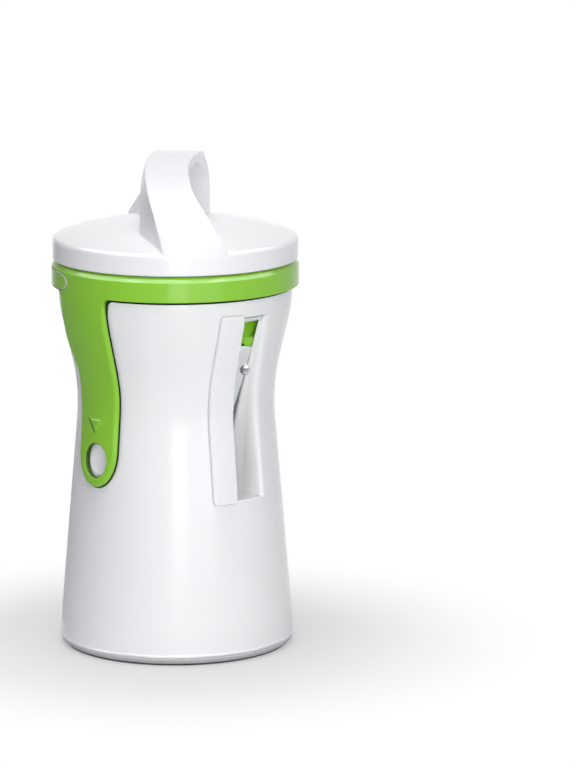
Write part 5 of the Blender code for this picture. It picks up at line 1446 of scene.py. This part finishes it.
def softbox(name, azimuth, elevation, distance, size, power):
    """Area lamp that faces the middle of the object from an azimuth and an elevation in degrees."""
    lamp = bpy.data.lights.new(name, "AREA")
    lamp.shape = "RECTANGLE"
    lamp.size, lamp.size_y = size
    lamp.energy = power
    a, e = math.radians(azimuth), math.radians(elevation)
    away = Vector((math.sin(a) * math.cos(e), -math.cos(a) * math.cos(e), math.sin(e)))
    holder = bpy.data.objects.new(name, lamp)
    holder.matrix_world = (Matrix.Translation(MIDDLE + away * distance)
                           @ away.to_track_quat("Z", "Y").to_matrix().to_4x4())
    bpy.context.scene.collection.objects.link(holder)
    return holder


def make_lights():
    """Soft lamps, each seen by gloss, by matt surfaces or by both, the flag and a white world."""
    for *lamp, hidden in LAMPS:
        holder = softbox(*lamp)
        if hidden:
            setattr(holder, hidden, False)
    make_flag()
    world = bpy.data.worlds.new("studio")
    world.use_nodes = True
    bpy.context.scene.world = world
    tree = world.node_tree
    ambient = tree.nodes["Background"]
    ambient.inputs["Color"].default_value = (*AMBIENT, 1)
    ambient.inputs["Strength"].default_value = AMBIENT_STRENGTH
    white = node(tree, "Background")
    white.inputs["Color"].default_value = (1, 1, 1, 1)
    surface = mixed(tree, seen_ray(tree), ambient.outputs[0], white.outputs[0])
    tree.links.new(surface, tree.nodes["World Output"].inputs["Surface"])


def make_camera():
    """Camera at the photograph's angle, placed so that the object's origin is seen where it lies."""
    right = Vector((math.cos(VIEW_TURN), math.sin(VIEW_TURN), 0))
    away = Vector((-math.sin(VIEW_TURN) * math.cos(VIEW_DOWN),
                   math.cos(VIEW_TURN) * math.cos(VIEW_DOWN), -math.sin(VIEW_DOWN)))
    up = right.cross(away)
    camera = bpy.data.cameras.new("camera")
    camera.sensor_width = SENSOR
    camera.lens = SENSOR * FOCAL_PIXELS / PICTURE_PIXELS
    camera.clip_end = VIEW_END
    holder = bpy.data.objects.new("camera", camera)
    place = Matrix((right, up, -away)).transposed().to_4x4()
    place.translation = -(right * SEEN_ORIGIN[0] + up * SEEN_ORIGIN[1] + away * SEEN_ORIGIN[2])
    holder.matrix_world = place
    bpy.context.scene.collection.objects.link(holder)
    bpy.context.scene.camera = holder


def main():
    """All pieces with their finishes, and the stage."""
    moulded, brushed = moulded_group(), steel_group()
    white = plastic("gloss white plastic", moulded, *WHITE, GLOSS, marked=WHITE_PAINTED_SHADE)
    green = plastic("gloss green plastic", moulded, *GREEN, GLOSS, GREEN_SHINE, GREEN_PAINTED_SHADE)
    plate_green = plastic("plate green plastic", moulded, *GREEN, GLOSS, GREEN_SHINE, GREEN_PAINTED_HIGHLIGHT)
    rubber = plastic("foot rubber", moulded, *RUBBER, MATT)
    blade = steel("brushed blade steel", brushed, *BLADE, BLADE_GLOSS, BLADE_STREAKS)
    bright = steel("plain screw steel", brushed, *SCREW, SCREW_GLOSS, SCREW_STREAKS)

    make_body_shell(white)
    make_exit_guard(white)
    make_collar_frame(green)
    make_foot_ring(rubber)
    make_cap(white)
    make_guide_ring(white)
    make_prongs(white, blade)
    for side, name in ((-1, "left"), (1, "right")):
        make_side_plate(side, name, plate_green)
        make_button(side, name, white)
        make_spring(name, bright)
        refined("button_carrier_" + name, white, "white_plastic", "body")
    refined("feed_cone", green, "green_plastic", "body")
    refined("slicing_blade", blade, "blade_steel", "body", edge=0.05)
    refined("comb_blade", blade, "blade_steel", "body", edge=0.08)
    for name in ("blade_screw_lower", "blade_screw_upper", "comb_screw_lower", "comb_screw_upper",
                 "carrier_screw_left_front", "carrier_screw_left_back", "carrier_screw_right_front",
                 "carrier_screw_right_back"):
        refined(name, bright, "fastener_steel", "body")
    refined("cap_screw", bright, "fastener_steel", "turning_cap")
    make_floor()
    make_lights()
    make_camera()


main()
bpy.context.scene.view_settings.view_transform = "Standard"
bpy.context.view_layer.update()
